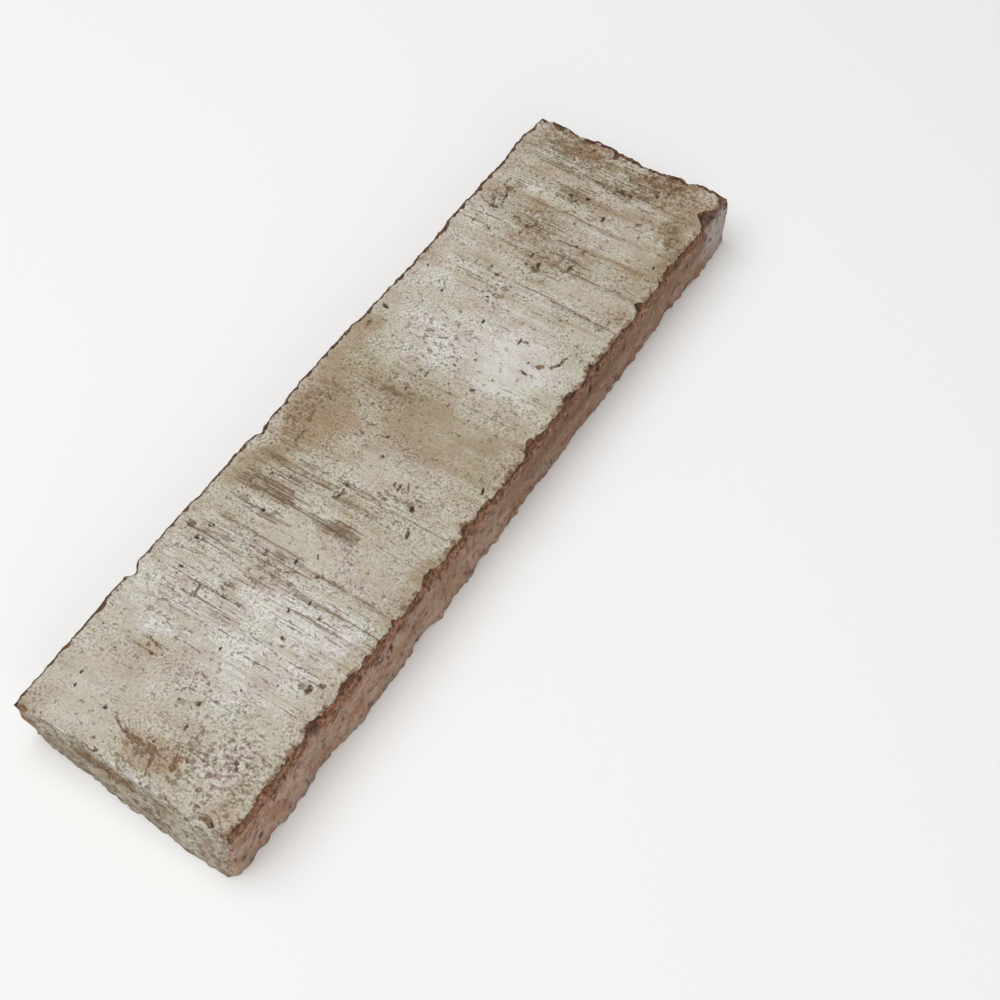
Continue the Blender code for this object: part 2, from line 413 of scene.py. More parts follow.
# Areas where the coat is whole and smooth: middle, half sizes and amount.
SMOOTH_AREAS = (
    (-86, 15, 13, 13, 0.75),
    (-70, 21, 8, 8, 0.4),
    (-66, -17, 9, 12, 0.35),
    (-37, 1, 4.5, 16, 0.7),
    (-13, -4, 10, 9, 0.6),
    (3, -12, 10, 16, 0.8),
    (24, -8, 12, 15, 1.0),
    (41, -3, 8, 13, 0.6),
    (50, 14, 7, 14, 0.5),
    (51, -14, 6, 12, 0.5),
    (68, -10, 6, 10, 0.6),
    (77, -10, 7, 9, 0.5),
)

# Spots where the coat is off: middle, half sizes, turn in degrees, darkness, how orange and depth in mm.
# A dark spot is partly bare clay and partly painted shade in its pit.
SPOTS = (
    (-87.4, 7.7, 0.4, 1, -50, 0.5, 0.6, 0.1),
    (-88.4, 6, 0.5, 1.6, -25, 0.52, 0.7, 0.1),
    (-89.2, 3.6, 0.6, 1.8, -12, 0.58, 0.8, 0.12),
    (-89.5, 1.2, 1, 1.9, 0, 0.62, 0.9, 0.14),
    (-90.3, -1.2, 1.6, 1.7, 20, 0.52, 1, 0.12),
    (-89.2, -2.9, 1, 1.7, -20, 0.6, 0.9, 0.14),
    (-91.2, -4.3, 1.8, 0.5, 14, 0.6, 1, 0.12),
    (-93.8, -5, 1.6, 0.35, 10, 0.52, 0.9, 0.08),
    (-89, -4.5, 1.4, 0.4, 0, 0.55, 0.9, 0.1),
    (-90.2, -8.8, 1, 0.6, 20, 0.6, 0.9, 0.12),
    (-88, -8, 1, 0.3, 20, 0.55, 0.7, 0.1),
    (-86, -7.4, 0.8, 0.6, -20, 0.5, 0.6, 0.12),
    (-87.5, -10.5, 0.7, 0.5, 0, 0.55, 0.9, 0.1),
    (-85.4, -13.2, 0.5, 1, 20, 0.55, 0.6, 0.12),
    (-84.6, -15, 0.9, 0.4, 30, 0.5, 0.6, 0.12),
    (-82.6, -18.4, 0.7, 0.9, 10, 0.62, 0.6, 0.18),
    (-83.6, -19.4, 0.5, 0.5, 0, 0.6, 0.5, 0.15),
    (-81.8, -20.8, 0.7, 0.6, 0, 0.58, 0.8, 0.15),
    (-80.2, -16.4, 0.8, 0.4, 30, 0.5, 0.2, 0.12),
    (-71, -22.6, 0.6, 0.6, 0, 0.45, 0.9, 0.1),
    (-95.4, -20.8, 1.3, 1.7, -10, 0.62, 0.7, 0.5),
    (-95.2, -22.4, 0.4, 0.9, 0, 0.85, 0.3, 0.4),
    (-95.4, 6.8, 0.5, 0.5, 0, 0.9, 0.3, 0.3),
    (-93.4, 8.4, 0.5, 0.4, 0, 0.6, 0.8, 0.15),
    (-87.3, 10.8, 0.5, 0.6, 0, 0.7, 0.5, 0.2),
    (-86.8, 19.2, 0.35, 0.35, 0, 1.0, 0, 0.25),
    (-84, 20, 0.45, 0.25, 0, 0.9, 0, 0.2),
    (-87.7, -2.1, 0.4, 0.4, 0, 1.0, 0, 0.35),
    (-82, -5.6, 0.7, 0.5, 0, 0.8, 0, 0.2),
    (-76.8, -4.3, 0.6, 0.6, 0, 0.9, 0.2, 0.35),
    (-78, -0.5, 0.5, 0.5, 0, 0.6, 0.5, 0.15),
    (-73.1, 10.8, 0.6, 0.4, 0, 1.0, 0.1, 0.4),
    (-71.9, 12.6, 0.4, 0.7, -30, 0.55, 1, 0.1),
    (-71.2, 11.2, 0.5, 0.7, 0, 0.62, 0.8, 0.15),
    (-70.6, 12.9, 0.3, 1.2, -20, 0.5, 1, 0.1),
    (-71.4, 9.8, 0.3, 0.5, 10, 0.55, 0.9, 0.1),
    (-73.2, 23.5, 0.3, 0.3, 0, 0.9, 0, 0.2),
    (-70.1, -9.8, 0.5, 0.25, 10, 0.9, 0, 0.2),
    (-65, -0.2, 0.45, 0.35, -30, 1.0, 0, 0.3),
    (-65.4, -15, 0.3, 0.3, 0, 0.8, 0, 0.2),
    (-63, -19.4, 0.8, 1, 0, 0.66, 0.5, 0.3),
    (-62.9, -20.9, 1.6, 0.8, 5, 0.74, 0.4, 0.5),
    (-60.6, -22.7, 0.8, 1.1, 10, 0.62, 0.5, 0.4),
    (-57, 12.4, 2.6, 0.5, 14, 0.52, 0.4, 0.12),
    (-57, 10.2, 0.35, 0.35, 0, 0.8, 0, 0.2),
    (-56, 18.5, 0.5, 0.25, 25, 0.9, 0, 0.2),
    (-54.2, 18.9, 0.4, 0.35, 0, 1.0, 0, 0.3),
    (-55.3, 6.8, 0.4, 1.1, 0, 0.68, 0.2, 0.18),
    (-56.4, -9.4, 0.4, 0.4, 0, 0.9, 0, 0.25),
    (-53, 7.5, 1.8, 2, 0, 0.35, 0.9, 0.1),
    (-50.7, -6.5, 0.5, 0.25, 20, 1.0, 0, 0.4),
    (-52.5, -5, 0.7, 0.15, 0, 0.8, 0, 0.15),
    (-47.2, -9.3, 0.8, 0.2, 0, 0.95, 0, 0.25),
    (-48.9, -13, 0.5, 0.3, 0, 0.8, 0.3, 0.2),
    (-47, 20.5, 0.5, 0.8, -15, 0.8, 0, 0.2),
    (-43.4, 19.9, 0.35, 0.25, 0, 1.0, 0, 0.25),
    (-42.6, 19.5, 0.3, 0.3, 0, 1.0, 0, 0.25),
    (-42.3, 5.8, 1, 0.7, 0, 0.6, 0.8, 0.15),
    (-40.5, -0.6, 0.7, 0.4, 0, 0.95, 0.3, 0.35),
    (-41.3, -6.8, 0.7, 0.6, 0, 0.7, 0.6, 0.2),
    (-37.4, -4, 0.7, 0.25, 35, 0.8, 0, 0.2),
    (-45, 23, 0.9, 1.4, 0, 0.5, 0.8, 0.1),
    (-34.2, 13, 0.5, 0.5, 0, 0.9, 0.1, 0.2),
    (-25.7, 17.2, 0.5, 0.3, 0, 0.9, 0, 0.2),
    (-24.5, 13.2, 0.7, 0.25, 15, 0.8, 0.1, 0.15),
    (-22.2, 1.6, 1.8, 0.45, -6, 0.8, 0.3, 0.2),
    (-19.6, 1.9, 0.5, 0.9, 0, 0.8, 0.1, 0.2),
    (-17.1, -13.6, 1.1, 0.6, 25, 0.66, 0.1, 0.5),
    (-22.8, -16.4, 1.3, 0.5, 28, 0.7, 0.4, 0.3),
    (-14.5, -8.4, 1.8, 0.25, 10, 0.65, 0, 0.15),
    (-13.4, -10, 1.8, 0.25, 30, 0.65, 0, 0.15),
    (-14.2, -6.8, 0.9, 0.3, 0, 0.65, 0, 0.15),
    (-5.7, -24.1, 0.9, 0.35, 20, 1.0, 0, 0.4),
    (-9.6, -0.5, 0.4, 0.4, 0, 1.0, 0, 0.3),
    (-4.6, 1.6, 0.6, 0.4, 0, 0.85, 0.1, 0.25),
    (-14.5, 18.2, 2.4, 0.5, 2, 0.55, 0.1, 0.15),
    (-8.8, 19.3, 2.6, 0.6, 14, 0.55, 0.1, 0.15),
    (-4.2, 20.8, 1.6, 0.3, 5, 0.6, 0, 0.12),
    (-2.5, 18.4, 1, 1.1, 0, 0.5, 0, 0.15),
    (-6.7, 7, 0.6, 0.9, 0, 0.6, 0, 0.15),
    (19.3, 24, 1.2, 0.6, 25, 0.56, 0.5, 0.4),
    (25.4, 23.6, 0.5, 1, -15, 0.92, 0.2, 0.6),
    (27, 26.2, 0.9, 0.3, 25, 0.9, 0, 0.3),
    (33.2, 2, 0.8, 0.3, 15, 1.0, 0, 0.4),
    (15.6, -7, 0.6, 0.6, 0, 0.55, 0, 0.2),
    (20.1, -9.4, 0.35, 0.3, 0, 0.9, 0, 0.25),
    (32.6, -8.4, 1.2, 0.25, 0, 0.95, 0, 0.25),
    (33.2, -9.6, 0.4, 0.9, 0, 0.6, 0.1, 0.15),
    (25.7, -13.6, 0.35, 1.5, -10, 0.75, 0.3, 0.25),
    (29, -13.1, 1, 0.18, 12, 0.7, 0, 0.15),
    (23.2, -2.7, 0.7, 0.6, 0, 0.55, 0.5, 0.15),
    (8.2, 6, 0.6, 0.4, 20, 0.8, 0.1, 0.2),
    (13.9, 4.3, 1, 0.35, 0, 0.7, 0.1, 0.2),
    (9.4, -4.7, 0.9, 0.3, 15, 0.7, 0.1, 0.2),
    (19.4, 0.6, 0.4, 0.6, -20, 0.7, 0.2, 0.2),
    (28.9, -16.2, 1.1, 0.7, -50, 0.75, 0.9, 0.3),
    (30.8, -18.9, 1.6, 0.6, -35, 0.7, 0.3, 0.3),
    (33, -19.8, 1.5, 0.35, -10, 0.75, 0.2, 0.2),
    (15, -18.4, 0.4, 0.4, 0, 0.7, 0.6, 0.2),
    (36.1, 15.4, 0.6, 0.35, 10, 1.0, 0.1, 0.35),
    (38.5, 16.2, 1.6, 0.2, 22, 0.5, 0, 0.12),
    (40.8, 22.6, 0.45, 0.3, 0, 0.95, 0.1, 0.25),
    (47.7, 13.8, 0.8, 0.3, 0, 0.9, 0.3, 0.25),
    (48.3, 9.7, 0.4, 0.35, 0, 1.0, 0, 0.3),
    (46.8, 7.2, 0.6, 0.8, 0, 0.6, 0.7, 0.2),
    (45.3, 7.5, 0.3, 0.3, 0, 0.8, 0, 0.2),
    (39.9, 5.3, 0.4, 0.3, 0, 0.95, 0, 0.2),
    (41.2, 4.5, 0.4, 0.3, 0, 0.85, 0, 0.2),
    (44.2, -2.1, 0.35, 0.3, 0, 0.9, 0, 0.2),
    (37.5, -6.2, 0.35, 0.35, 0, 0.8, 0.4, 0.2),
    (43.4, -14, 0.4, 0.25, 0, 1.0, 0.1, 0.25),
    (54, 0.4, 1.1, 0.4, 8, 1.0, 0.4, 0.35),
    (56.1, 3.3, 0.9, 0.3, 0, 0.95, 0, 0.25),
    (53, 3.2, 0.5, 0.4, 0, 0.85, 0.4, 0.25),
    (52.8, 0.2, 0.7, 1.4, 0, 0.48, 0.7, 0.2),
    (57, -6.2, 1.2, 0.6, 0, 0.58, 0.5, 0.2),
    (57.9, 17.1, 0.5, 0.5, 0, 0.85, 0, 0.25),
    (64.3, 13.8, 0.6, 0.35, -15, 0.95, 0.4, 0.25),
    (63.9, -4, 0.4, 0.4, 0, 0.95, 0, 0.25),
    (62.9, -6, 0.5, 1, 0, 0.75, 0.4, 0.2),
    (63.8, 8.5, 1.5, 0.7, -25, 0.65, 0.7, 0.15),
    (61.5, 9.8, 2.2, 0.3, 0, 0.65, 0.2, 0.12),
    (66.5, 10, 3, 0.3, 5, 0.55, 0.1, 0.12),
    (64.6, 20, 0.7, 1.1, 0, 0.6, 0.7, 0.15),
    (66.9, 21.2, 1.9, 0.25, 28, 0.7, 0, 0.15),
    (68, 19, 3.2, 0.25, 10, 0.75, 0, 0.15),
    (71.6, 19.8, 1, 0.9, 0, 0.8, 0.5, 0.25),
    (71.3, 18.2, 0.5, 0.3, 20, 0.9, 0, 0.2),
    (69.6, 0.1, 0.5, 0.25, 20, 0.95, 0, 0.2),
    (77.2, 6, 0.6, 0.7, 0, 0.85, 0.3, 0.25),
    (78.3, 1.7, 0.6, 0.5, 0, 1.0, 0.2, 0.35),
    (76.2, 4, 0.8, 0.5, 0, 0.65, 0.3, 0.2),
    (74.4, -4.8, 0.9, 0.4, 10, 0.9, 0.1, 0.25),
    (73.6, -15.2, 0.7, 0.2, 0, 1.0, 0, 0.25),
    (77, -13.4, 1.3, 1.2, 0, 0.35, 0, 0.15),
    (67.4, -23.1, 0.7, 0.35, 0, 0.8, 0, 0.2),
    (84.7, -6.4, 0.5, 0.5, 0, 1.0, 0, 0.3),
    (84.6, -4, 0.7, 1.3, 0, 0.8, 0.4, 0.25),
    (89.5, -3.6, 1.6, 0.25, 30, 0.7, 0.3, 0.15),
    (88, -12, 1.6, 0.5, 25, 0.7, 0.1, 0.2),
    (92.5, -6.4, 1.2, 0.5, 15, 0.8, 0.5, 0.25),
    (92.8, -8.2, 0.7, 1.2, 10, 0.6, 0.6, 0.2),
    (93.9, -12, 1.2, 1.8, 0, 0.7, 0.5, 0.3),
    (92.8, -15.5, 1.4, 0.6, -50, 0.65, 0.6, 0.2),
    (92.9, 9, 0.6, 0.5, 20, 0.95, 0.3, 0.4),
    (94.2, 12, 0.9, 1.8, 20, 0.75, 0.7, 0.3),
    (93.9, 3.3, 1.3, 0.9, 0, 0.85, 0.6, 0.35),
    (94.4, 20.5, 1, 2, 0, 0.7, 0.5, 0.3),
    (95, -20.5, 0.5, 3.5, 0, 0.55, 0.9, 0.2),
    (-95.6, 25, 1.4, 1.6, 0, 0.6, 0.9, 0.2),
    (-70.3, 26.2, 1.6, 0.8, 0, 0.9, 0.5, 0.4),
)

# Where the coat is off further in along the right arris: place, half width, and how far.
COAT_CHIPS = (
    (-68.5, 3, 0.6),
    (-57.5, 4.5, 0.5),
    (-41, 2.5, 0.7),
    (-28.5, 3, 0.6),
    (10, 3, 0.6),
    (35, 2.5, 0.6),
    (56, 2.5, 0.7),
    (68.5, 3, 0.6),
    (88, 4, 0.7),
)

# Pits and marks on the right side: place along, height, half sizes, darkness and depth. A pit's darkness is
# partly the clay's and partly painted shade in it.
SIDE_SPOTS = (
    (88, 14.6, 3.5, 1.6, 0.5, 0),
    (33, 10.6, 0.7, 1.4, 1, 1),
    (-44.4, 10.4, 0.5, 1.8, 0.9, 0.6),
    (-75.1, 10.4, 0.5, 0.5, 0.9, 0.4),
    (-92.5, 3.6, 0.7, 0.8, 0.8, 0.4),
    (-88.6, 4.2, 0.7, 0.7, 0.8, 0.4),
    (-94.7, 10.6, 0.4, 0.4, 0.7, 0.3),
    (-82.3, 12.4, 0.6, 1.3, 0.8, 0.5),
    (-79.1, 13, 0.4, 1.2, 0.9, 0.6),
    (-68.2, 13.6, 0.9, 2.4, 0.7, 0.7),
    (-68, 5, 0.5, 0.4, 0.8, 0.3),
    (-64, 10.6, 0.7, 0.5, 0.8, 0.4),
    (-61.4, 10.6, 0.5, 0.4, 0.8, 0.3),
    (-73, 4, 1.5, 0.3, 0.6, 0.3),
    (-61, 4, 0.4, 0.5, 0.7, 0.3),
    (-54.4, 13.2, 0.8, 0.9, 0.8, 0.5),
    (-49.5, 11.4, 0.6, 0.5, 0.7, 0.4),
    (-36.6, 6.8, 1, 0.6, 0.5, 0.3),
    (-33.6, 13.2, 0.7, 0.7, 0.7, 0.4),
    (-26.4, 12.4, 0.5, 0.6, 0.8, 0.4),
    (-25.9, 4.6, 0.4, 0.5, 0.8, 0.3),
    (-22, 7, 0.9, 0.7, 0.5, 0.3),
    (-7, 11.6, 2, 0.5, 0.6, 0.4),
    (18.6, 11.1, 0.4, 0.8, 0.8, 0.4),
    (35.2, 9.8, 0.6, 0.5, 0.6, 0.3),
    (36.5, 14.2, 0.8, 0.9, 0.8, 0.4),
    (88, 8.4, 0.8, 0.6, 0.7, 0.3),
    (55, 1.6, 1.2, 0.6, 0.5, 0.3),
)

# Painted glints, and a painted pale sheen near the far end of the right side: place along, height, and half
# sizes.
PAINTED_SHEEN = (92.0, 8.0, 10.0, 9.5)
SIDE_GLINTS = (
    (-89, 8.6, 0.5, 0.4),
    (-87.4, 8.2, 0.6, 0.5),
    (-61.8, 11, 1.2, 0.4),
    (8.6, 2.4, 0.4, 0.5),
    (23.6, 3.6, 0.4, 0.3),
    (61.8, 7.6, 0.6, 1),
    (66, 9, 0.6, 0.6),
    (16.2, 1, 0.3, 0.5),
)


def bump(offset, half):
    """A smooth hump: 1 where offset is 0, down to 0 at half a width away, (1 - (offset / half)^2)^2."""
    return np.maximum(0.0, 1.0 - (offset / half) ** 2) ** 2


def fade(distance, reach):
    """1 at no distance, easing to 0 at the reach."""
    t = np.clip(distance / reach, 0.0, 1.0)
    return 1.0 - t * t * (3.0 - 2.0 * t)


def wander(place, longest, start):
    """An uneven line between -1 and 1: three sine waves whose lengths don't fit into one another."""
    turn = 2.0 * np.pi * place / longest
    return (
        0.55 * np.sin(turn + start)
        + 0.30 * np.sin(2.31 * turn + 1.7 * start)
        + 0.15 * np.sin(4.77 * turn + 2.9 * start)
    )


def marks_at(place, marks):
    """How far the listed marks stand out at a place: the sum of their humps."""
    return sum(out * bump(place - middle, half) for middle, half, out in marks)


def cloud(points, size, seed, layers=1):
    """Random field between -1 and 1: seeded values on a lattice with cells of the given size in mm (one size
    or one for each axis), blended by a smooth step. Each further layer has half the cell and half the weight.
    """
    lattice = np.random.default_rng(seed).uniform(-1.0, 1.0, (48, 48, 48))
    total = 0.0
    for layer in range(layers):
        cells = points * 2.0**layer / np.asarray(size) + 17.0 * (layer + 1)
        low = np.floor(cells).astype(int)
        part = cells - low
        part = part * part * (3.0 - 2.0 * part)
        value = 0.0
        for corner in np.ndindex(2, 2, 2):
            weight = np.prod(np.where(corner, part, 1.0 - part), axis=1)
            value = value + weight * lattice[tuple(((low + corner) % 48).T)]
        total = total + value * 0.5**layer
    return total / (2.0 - 0.5 ** (layers - 1))


def near_out(across, height):
    """How far the near end stands out: a lean that grows towards the foot and towards the right corner."""
    up = height / THICKNESS
    from_right = np.clip(across / FACE_WIDTH + 0.5, 0.0, 1.0)
    lean = TOE * (1.0 - from_right**1.6) * (1.0 - up) ** 0.8
    lip = CORNER_LIP * bump(height - LIP_HEIGHT, LIP_HALF) * fade(FACE_WIDTH / 2 - across, 7.0)
    arris = marks_at(across, NEAR_ARRIS_MARKS) * up**3
    mark_height = THICKNESS - END_MARK_BELOW - END_MARK_FALL * (1.0 - from_right)
    hollow = END_HOLLOW * bump(height - mark_height, END_MARK_HALF) * fade(-across - FACE_WIDTH / 4, 12.0)
    return lean + lip + arris - hollow + 0.25 * wander(across, 17.0, 0.8)


def far_out(across, height):
    """How far the far end stands out: marks that weaken downwards, a belly in the right corner, a wave."""
    up = height / THICKNESS
    belly = FAR_BELLY * bump(height - BELLY_HEIGHT, BELLY_HALF) * fade(across + FACE_WIDTH / 2, 14.0)
    arris = marks_at(across, FAR_ARRIS_MARKS) * (0.35 + 0.65 * up)
    return arris + belly + 0.2 * wander(across + 5.0 * up, 13.0, 2.1)


def left_out(along, height):
    """How far the left side stands out: marks that weaken downwards, and a slight wave."""
    up = height / THICKNESS
    return marks_at(along, LEFT_ARRIS_MARKS) * (0.3 + 0.7 * up) + 0.18 * wander(along + 9.0 * up, 19.0, 1.2)


def right_out(along, height):
    """How far the right side stands out: a foot that spreads, the less the higher up, the bites of its arris,
    the torn band and a slight wave.
    """
    up = height / THICKNESS
    foot = FOOT_SPREAD * bump(along + 0.3 * FACE_LENGTH, 0.33 * FACE_LENGTH)
    foot = foot + marks_at(along, RIGHT_FOOT_MARKS)
    bites = marks_at(along, RIGHT_ARRIS_MARKS) * fade(THICKNESS - height, 2.2 * TORN_BAND)
    torn = TORN_DEPTH * fade(THICKNESS - height, TORN_BAND) * (0.6 + 0.4 * wander(along, 11.0, 0.4))
    return foot * (1.0 - up) + bites - torn + 0.15 * wander(along + 14.0 * up, 23.0, 2.7)


def face_drop(along, across):
    """How far the face lies under its highest level: waves, drag channels and the broken arris, summed."""
    waves = 0.5 * FACE_WAVES * (1.0 + wander(along + 0.3 * across, 71.0, 0.9) * wander(across, 63.0, 1.9))
    channels = sum(
        depth * bump(along - middle, half) * fade(right_end - across, 4.0) * fade(across - left_end, 4.0)
        for middle, half, depth, right_end, left_end in DRAG_CHANNELS
    )
    to_edge = np.minimum(FACE_LENGTH / 2 - np.abs(along), FACE_WIDTH / 2 - np.abs(across))
    return waves + channels + BROKEN_ARRIS * fade(to_edge, 2.0 * BROKEN_ARRIS)


def groove(across, height):
    """1 in the shallow brown groove that runs along the middle of the near end, 6 mm under the face."""
    line = GROOVE_HEIGHT - 0.06 * across + 0.3 * wander(across, 24.0, 0.3)
    along = fade(across - 11.0, 5.0) * fade(-across - 11.0, 9.0) * (0.3 + 0.7 * fade(-across, 5.0))
    return np.minimum(1.0, 1.5 * bump(height - line, GROOVE_HALF)) * along


def ellipse(along, across, middle_x, middle_y, half_x, half_y, turn=0.0):
    """1 in the middle of a turned ellipse and 0 outside it, as a smooth hump."""
    c, s = math.cos(math.radians(turn)), math.sin(math.radians(turn))
    dx, dy = along - middle_x, across - middle_y
    return bump(np.hypot((dx * c + dy * s) / half_x, (dy * c - dx * s) / half_y), 1.0)


def graded(low, high, fine, coarse, margin):
    """Cuts from low to high: fine steps within the margin of either end and coarse ones between."""
    inner = np.linspace(low + margin, high - margin, round((high - low - 2 * margin) / coarse) + 1)
    steps = np.arange(0.0, margin - fine / 2, fine)
    return np.concatenate([low + steps, inner, (high - steps)[::-1]])


def block_surface():
    """Points and faces of the block's skin: a ring round its walls at each height, and a grid on its face.

    The rings run round the block against the clock seen from above. The face's outermost points close the top
    ring, and one flat polygon closes the back.
    """
    xs = graded(-FACE_LENGTH / 2, FACE_LENGTH / 2, STEP_FINE, STEP_ALONG, FINE_MARGIN)
    ys = graded(-FACE_WIDTH / 2, FACE_WIDTH / 2, STEP_FINE, STEP_ACROSS, FINE_MARGIN)
    top = THICKNESS - np.arange(0.0, FINE_MARGIN - STEP_FINE / 2, STEP_FINE)[::-1]
    low_rings = round((THICKNESS - FINE_MARGIN) / STEP_UP) + 1
    zs = np.concatenate([np.linspace(0.0, THICKNESS - FINE_MARGIN, low_rings), top])
    nx, ny, nz = len(xs) - 1, len(ys) - 1, len(zs) - 1
    around = 2 * (nx + ny)
    ring_x = np.concatenate([xs[:-1], np.full(ny, xs[-1]), xs[:0:-1], np.full(ny, xs[0])])
    ring_y = np.concatenate([np.full(nx, ys[0]), ys[:-1], np.full(nx, ys[-1]), ys[:0:-1]])
    walls = np.stack([np.tile(ring_x, nz), np.tile(ring_y, nz), np.repeat(zs[:-1], around)], axis=1)
    grid_x, grid_y = np.meshgrid(xs, ys, indexing="ij")
    face = np.stack([grid_x.ravel(), grid_y.ravel(), np.full(grid_x.size, THICKNESS)], axis=1)
    grid = nz * around + np.arange(grid_x.size).reshape(nx + 1, ny + 1)
    rim = np.concatenate([grid[:-1, 0], grid[-1, :-1], grid[:0:-1, -1], grid[0, :0:-1]])
    rows = np.vstack([np.arange(nz * around).reshape(nz, around), rim])
    onward = np.roll(rows, -1, axis=1)
    wall_quads = np.stack([rows[:-1], onward[:-1], onward[1:], rows[1:]], axis=-1).reshape(-1, 4)
    face_quads = np.stack([grid[:-1, :-1], grid[1:, :-1], grid[1:, 1:], grid[:-1, 1:]], axis=-1)
    face_quads = face_quads.reshape(-1, 4)
    back = rows[0][::-1]
    return np.vstack([walls, face]), np.vstack([wall_quads, face_quads]), back


def drag_lines(x, y, points):
    """Darkness and orange of the listed drag lines: across each a narrow hump, along each an uneven strength.

    Also how far each point lies from the middle of the nearest line, in mm, and that line's strength, for the
    thin dark core that the shader draws in it.
    """
    sway = 0.12 * cloud(points, (60.0, 14.0, 60.0), 11)
    broken = 0.75 + 0.45 * cloud(points, (0.8, 5.0, 40.0), 12, 2)
    dark = np.zeros_like(x)
    orange = np.zeros_like(x)
    offset = np.full_like(x, 1.5)
    core = np.zeros_like(x)
    for middle, start, end, width, strength, tint in DRAG_LINES:
        ends = fade(start - y, 1.2) * fade(y - end, 1.2)
        line = strength * bump(x + sway - middle, max(0.5, 0.15 + 0.7 * width)) * ends * broken
        dark = np.maximum(dark, line)
        orange = np.maximum(orange, line * tint)
        closer = (np.abs(x + sway - middle) < np.abs(offset)) & (ends > 0.0)
        offset = np.where(closer, x + sway - middle, offset)
        core = np.where(closer, strength * ends, core)
    return np.clip(dark, 0.0, 1.0), orange, offset, core


def areas(x, y, rows):
    """Sum of the areas' amounts; each is level over its middle and fades out near its rim."""
    return sum(row[-1] * np.minimum(1.0, 1.4 * ellipse(x, y, *row[:4])) for row in rows)


def surface_fields(points):
    """What the coat and clay look like at each point, and how deep its spots are in mm.

    The listed areas are summed at places that noise has moved, and the listed spots and lines are laid over
    one another. Each field is 0 where it has no effect and about 1 where it is full. Tint is 1 where the coat
    is whitest and -2 where it is brownest, and core_offset is in mm.
    """
    x, y, z = points.T
    on_face = fade(THICKNESS - z, 1.2)
    lines, line_orange, core_offset, core = drag_lines(x, y, points)
    hair = np.clip(areas(x, y, HAIRLINE_AREAS), 0.0, 1.0)
    # The rims of the areas wander, so that none shows as an ellipse.
    side_x = x + 4.0 * cloud(points, (8.0, 14.0, 30.0), 22, 3)
    side_y = y + 6.0 * cloud(points, (10.0, 14.0, 30.0), 23, 3)
    tint = np.clip(areas(side_x, side_y, COAT_TINTS) + 0.12 * cloud(points, 9.0, 21, 3), -2.0, 1.0)
    smooth = np.clip(areas(side_x, side_y, SMOOTH_AREAS), 0.0, 1.0)
    worn = np.zeros_like(x)
    worn_orange = areas(side_x, side_y, ORANGE_AREAS)
    for *place, amount in WORN_AREAS:
        worn = np.maximum(worn, amount * ellipse(side_x, side_y, *place))
    ragged = 0.6 * cloud(points, 0.9, 31, 2)
    spots = np.zeros_like(x)
    spot_orange = np.zeros_like(x)
    spot_depth = np.zeros_like(x)
    for mx, my, hx, hy, turn, dark, orange, depth in SPOTS:
        shape = ellipse(x, y, mx, my, 1.4 * hx, 1.4 * hy, turn)
        shape = np.clip(1.6 * shape * (1.0 + ragged), 0.0, 1.0)
        spots = np.maximum(spots, dark * shape)
        spot_orange = np.maximum(spot_orange, dark * orange * shape)
        spot_depth = np.maximum(spot_depth, depth * shape)
    on_near = x < ON_WALL - FACE_LENGTH / 2
    streaky = 0.8 + 0.6 * cloud(points, (9.0, 9.0, 1.2), 32, 2)
    worn = worn * on_face + on_near * np.clip(0.5 + 0.8 * cloud(points, (4.0, 4.0, 1.8), 33, 3), 0.0, 1.2)
    # The near end is brown up its left corner, brown with painted shade in its groove and brown with a painted
    # shadow at its foot.
    foot_brown_and_shadow = on_near * fade(z, 2.5) * (0.6 + 0.6 * cloud(points, (3.0, 3.0, 1.5), 34, 2))
    corner_brown = fade(x + FACE_LENGTH / 2, 3.0) * fade(FACE_WIDTH / 2 - y, 7.0) * streaky
    roll_brown = 0.2 * fade(x + FACE_LENGTH / 2, 1.6) * fade(5.0 - y, 8.0) * streaky
    near_tint = 0.75 * (1.0 - fade(z - 11.0, 4.0)) - 0.2 - 0.35 * bump(y + 7.5, 11.0) * fade(z - 3.0, 3.0)
    near_tint = near_tint - 0.5 * bump(y - 18.0, 9.0) * fade(z - 7.0, 4.0)
    # Next to the long arrises the coat is chafed down to the clay here and there.
    to_arris = np.minimum(y + FACE_WIDTH / 2, 1.4 * (FACE_WIDTH / 2 - y))
    edge_worn = on_face * fade(to_arris, 2.0) * np.clip(0.55 + 1.3 * cloud(points, 2.4, 35, 2), 0.0, 1.0)
    worn = np.maximum(worn, 1.5 * edge_worn)
    in_groove = on_near * groove(y, z)
    # The right side is browner in its far half, and in a band half way up beyond its near quarter.
    far_half = (1.0 - fade(x + 15.0, 30.0)) * (0.35 + 0.65 * np.minimum(1.0, z / 9.0))
    far_half = far_half * (0.7 + 0.3 * fade(x - 35.0, 25.0))
    far_half = far_half + 0.6 * (1.0 - fade(x + 50.0, 20.0)) * bump(z - 9.5, 4.0)
    # The groove is worn brown, partly as painted shade.
    worn = np.maximum(worn, 1.2 * in_groove)
    near_brown_and_shade = np.maximum(in_groove, foot_brown_and_shadow)
    near_brown_and_shade = np.clip(np.maximum(near_brown_and_shade, np.maximum(corner_brown, roll_brown)), 0.0, 1.0)
    orange = np.max(
        [line_orange, spot_orange, 0.8 * worn_orange, 0.8 * corner_brown, 0.4 * in_groove, 0.9 * edge_worn],
        axis=0,
    )
    # On the near end the lines carry its browns, with painted shade in the groove and a painted shadow at the
    # foot.
    return {
        "lines": np.maximum(lines * on_face, near_brown_and_shade),
        "core_offset": core_offset,
        "core": core * on_face,
        "hair": hair * on_face,
        "tint": np.where(on_near, near_tint - 0.3 * in_groove, tint),
        "smooth": np.where(on_near, 0.0, smooth),
        "worn": worn,
        "far_half": far_half,
        "lip": fade(THICKNESS - z, 1.8) * (1.0 - 0.5 * fade(x + 50.0, 60.0)),
        "spots": spots * on_face,
        "orange": np.clip(orange, 0.0, 1.0),
    }, spot_depth * on_face


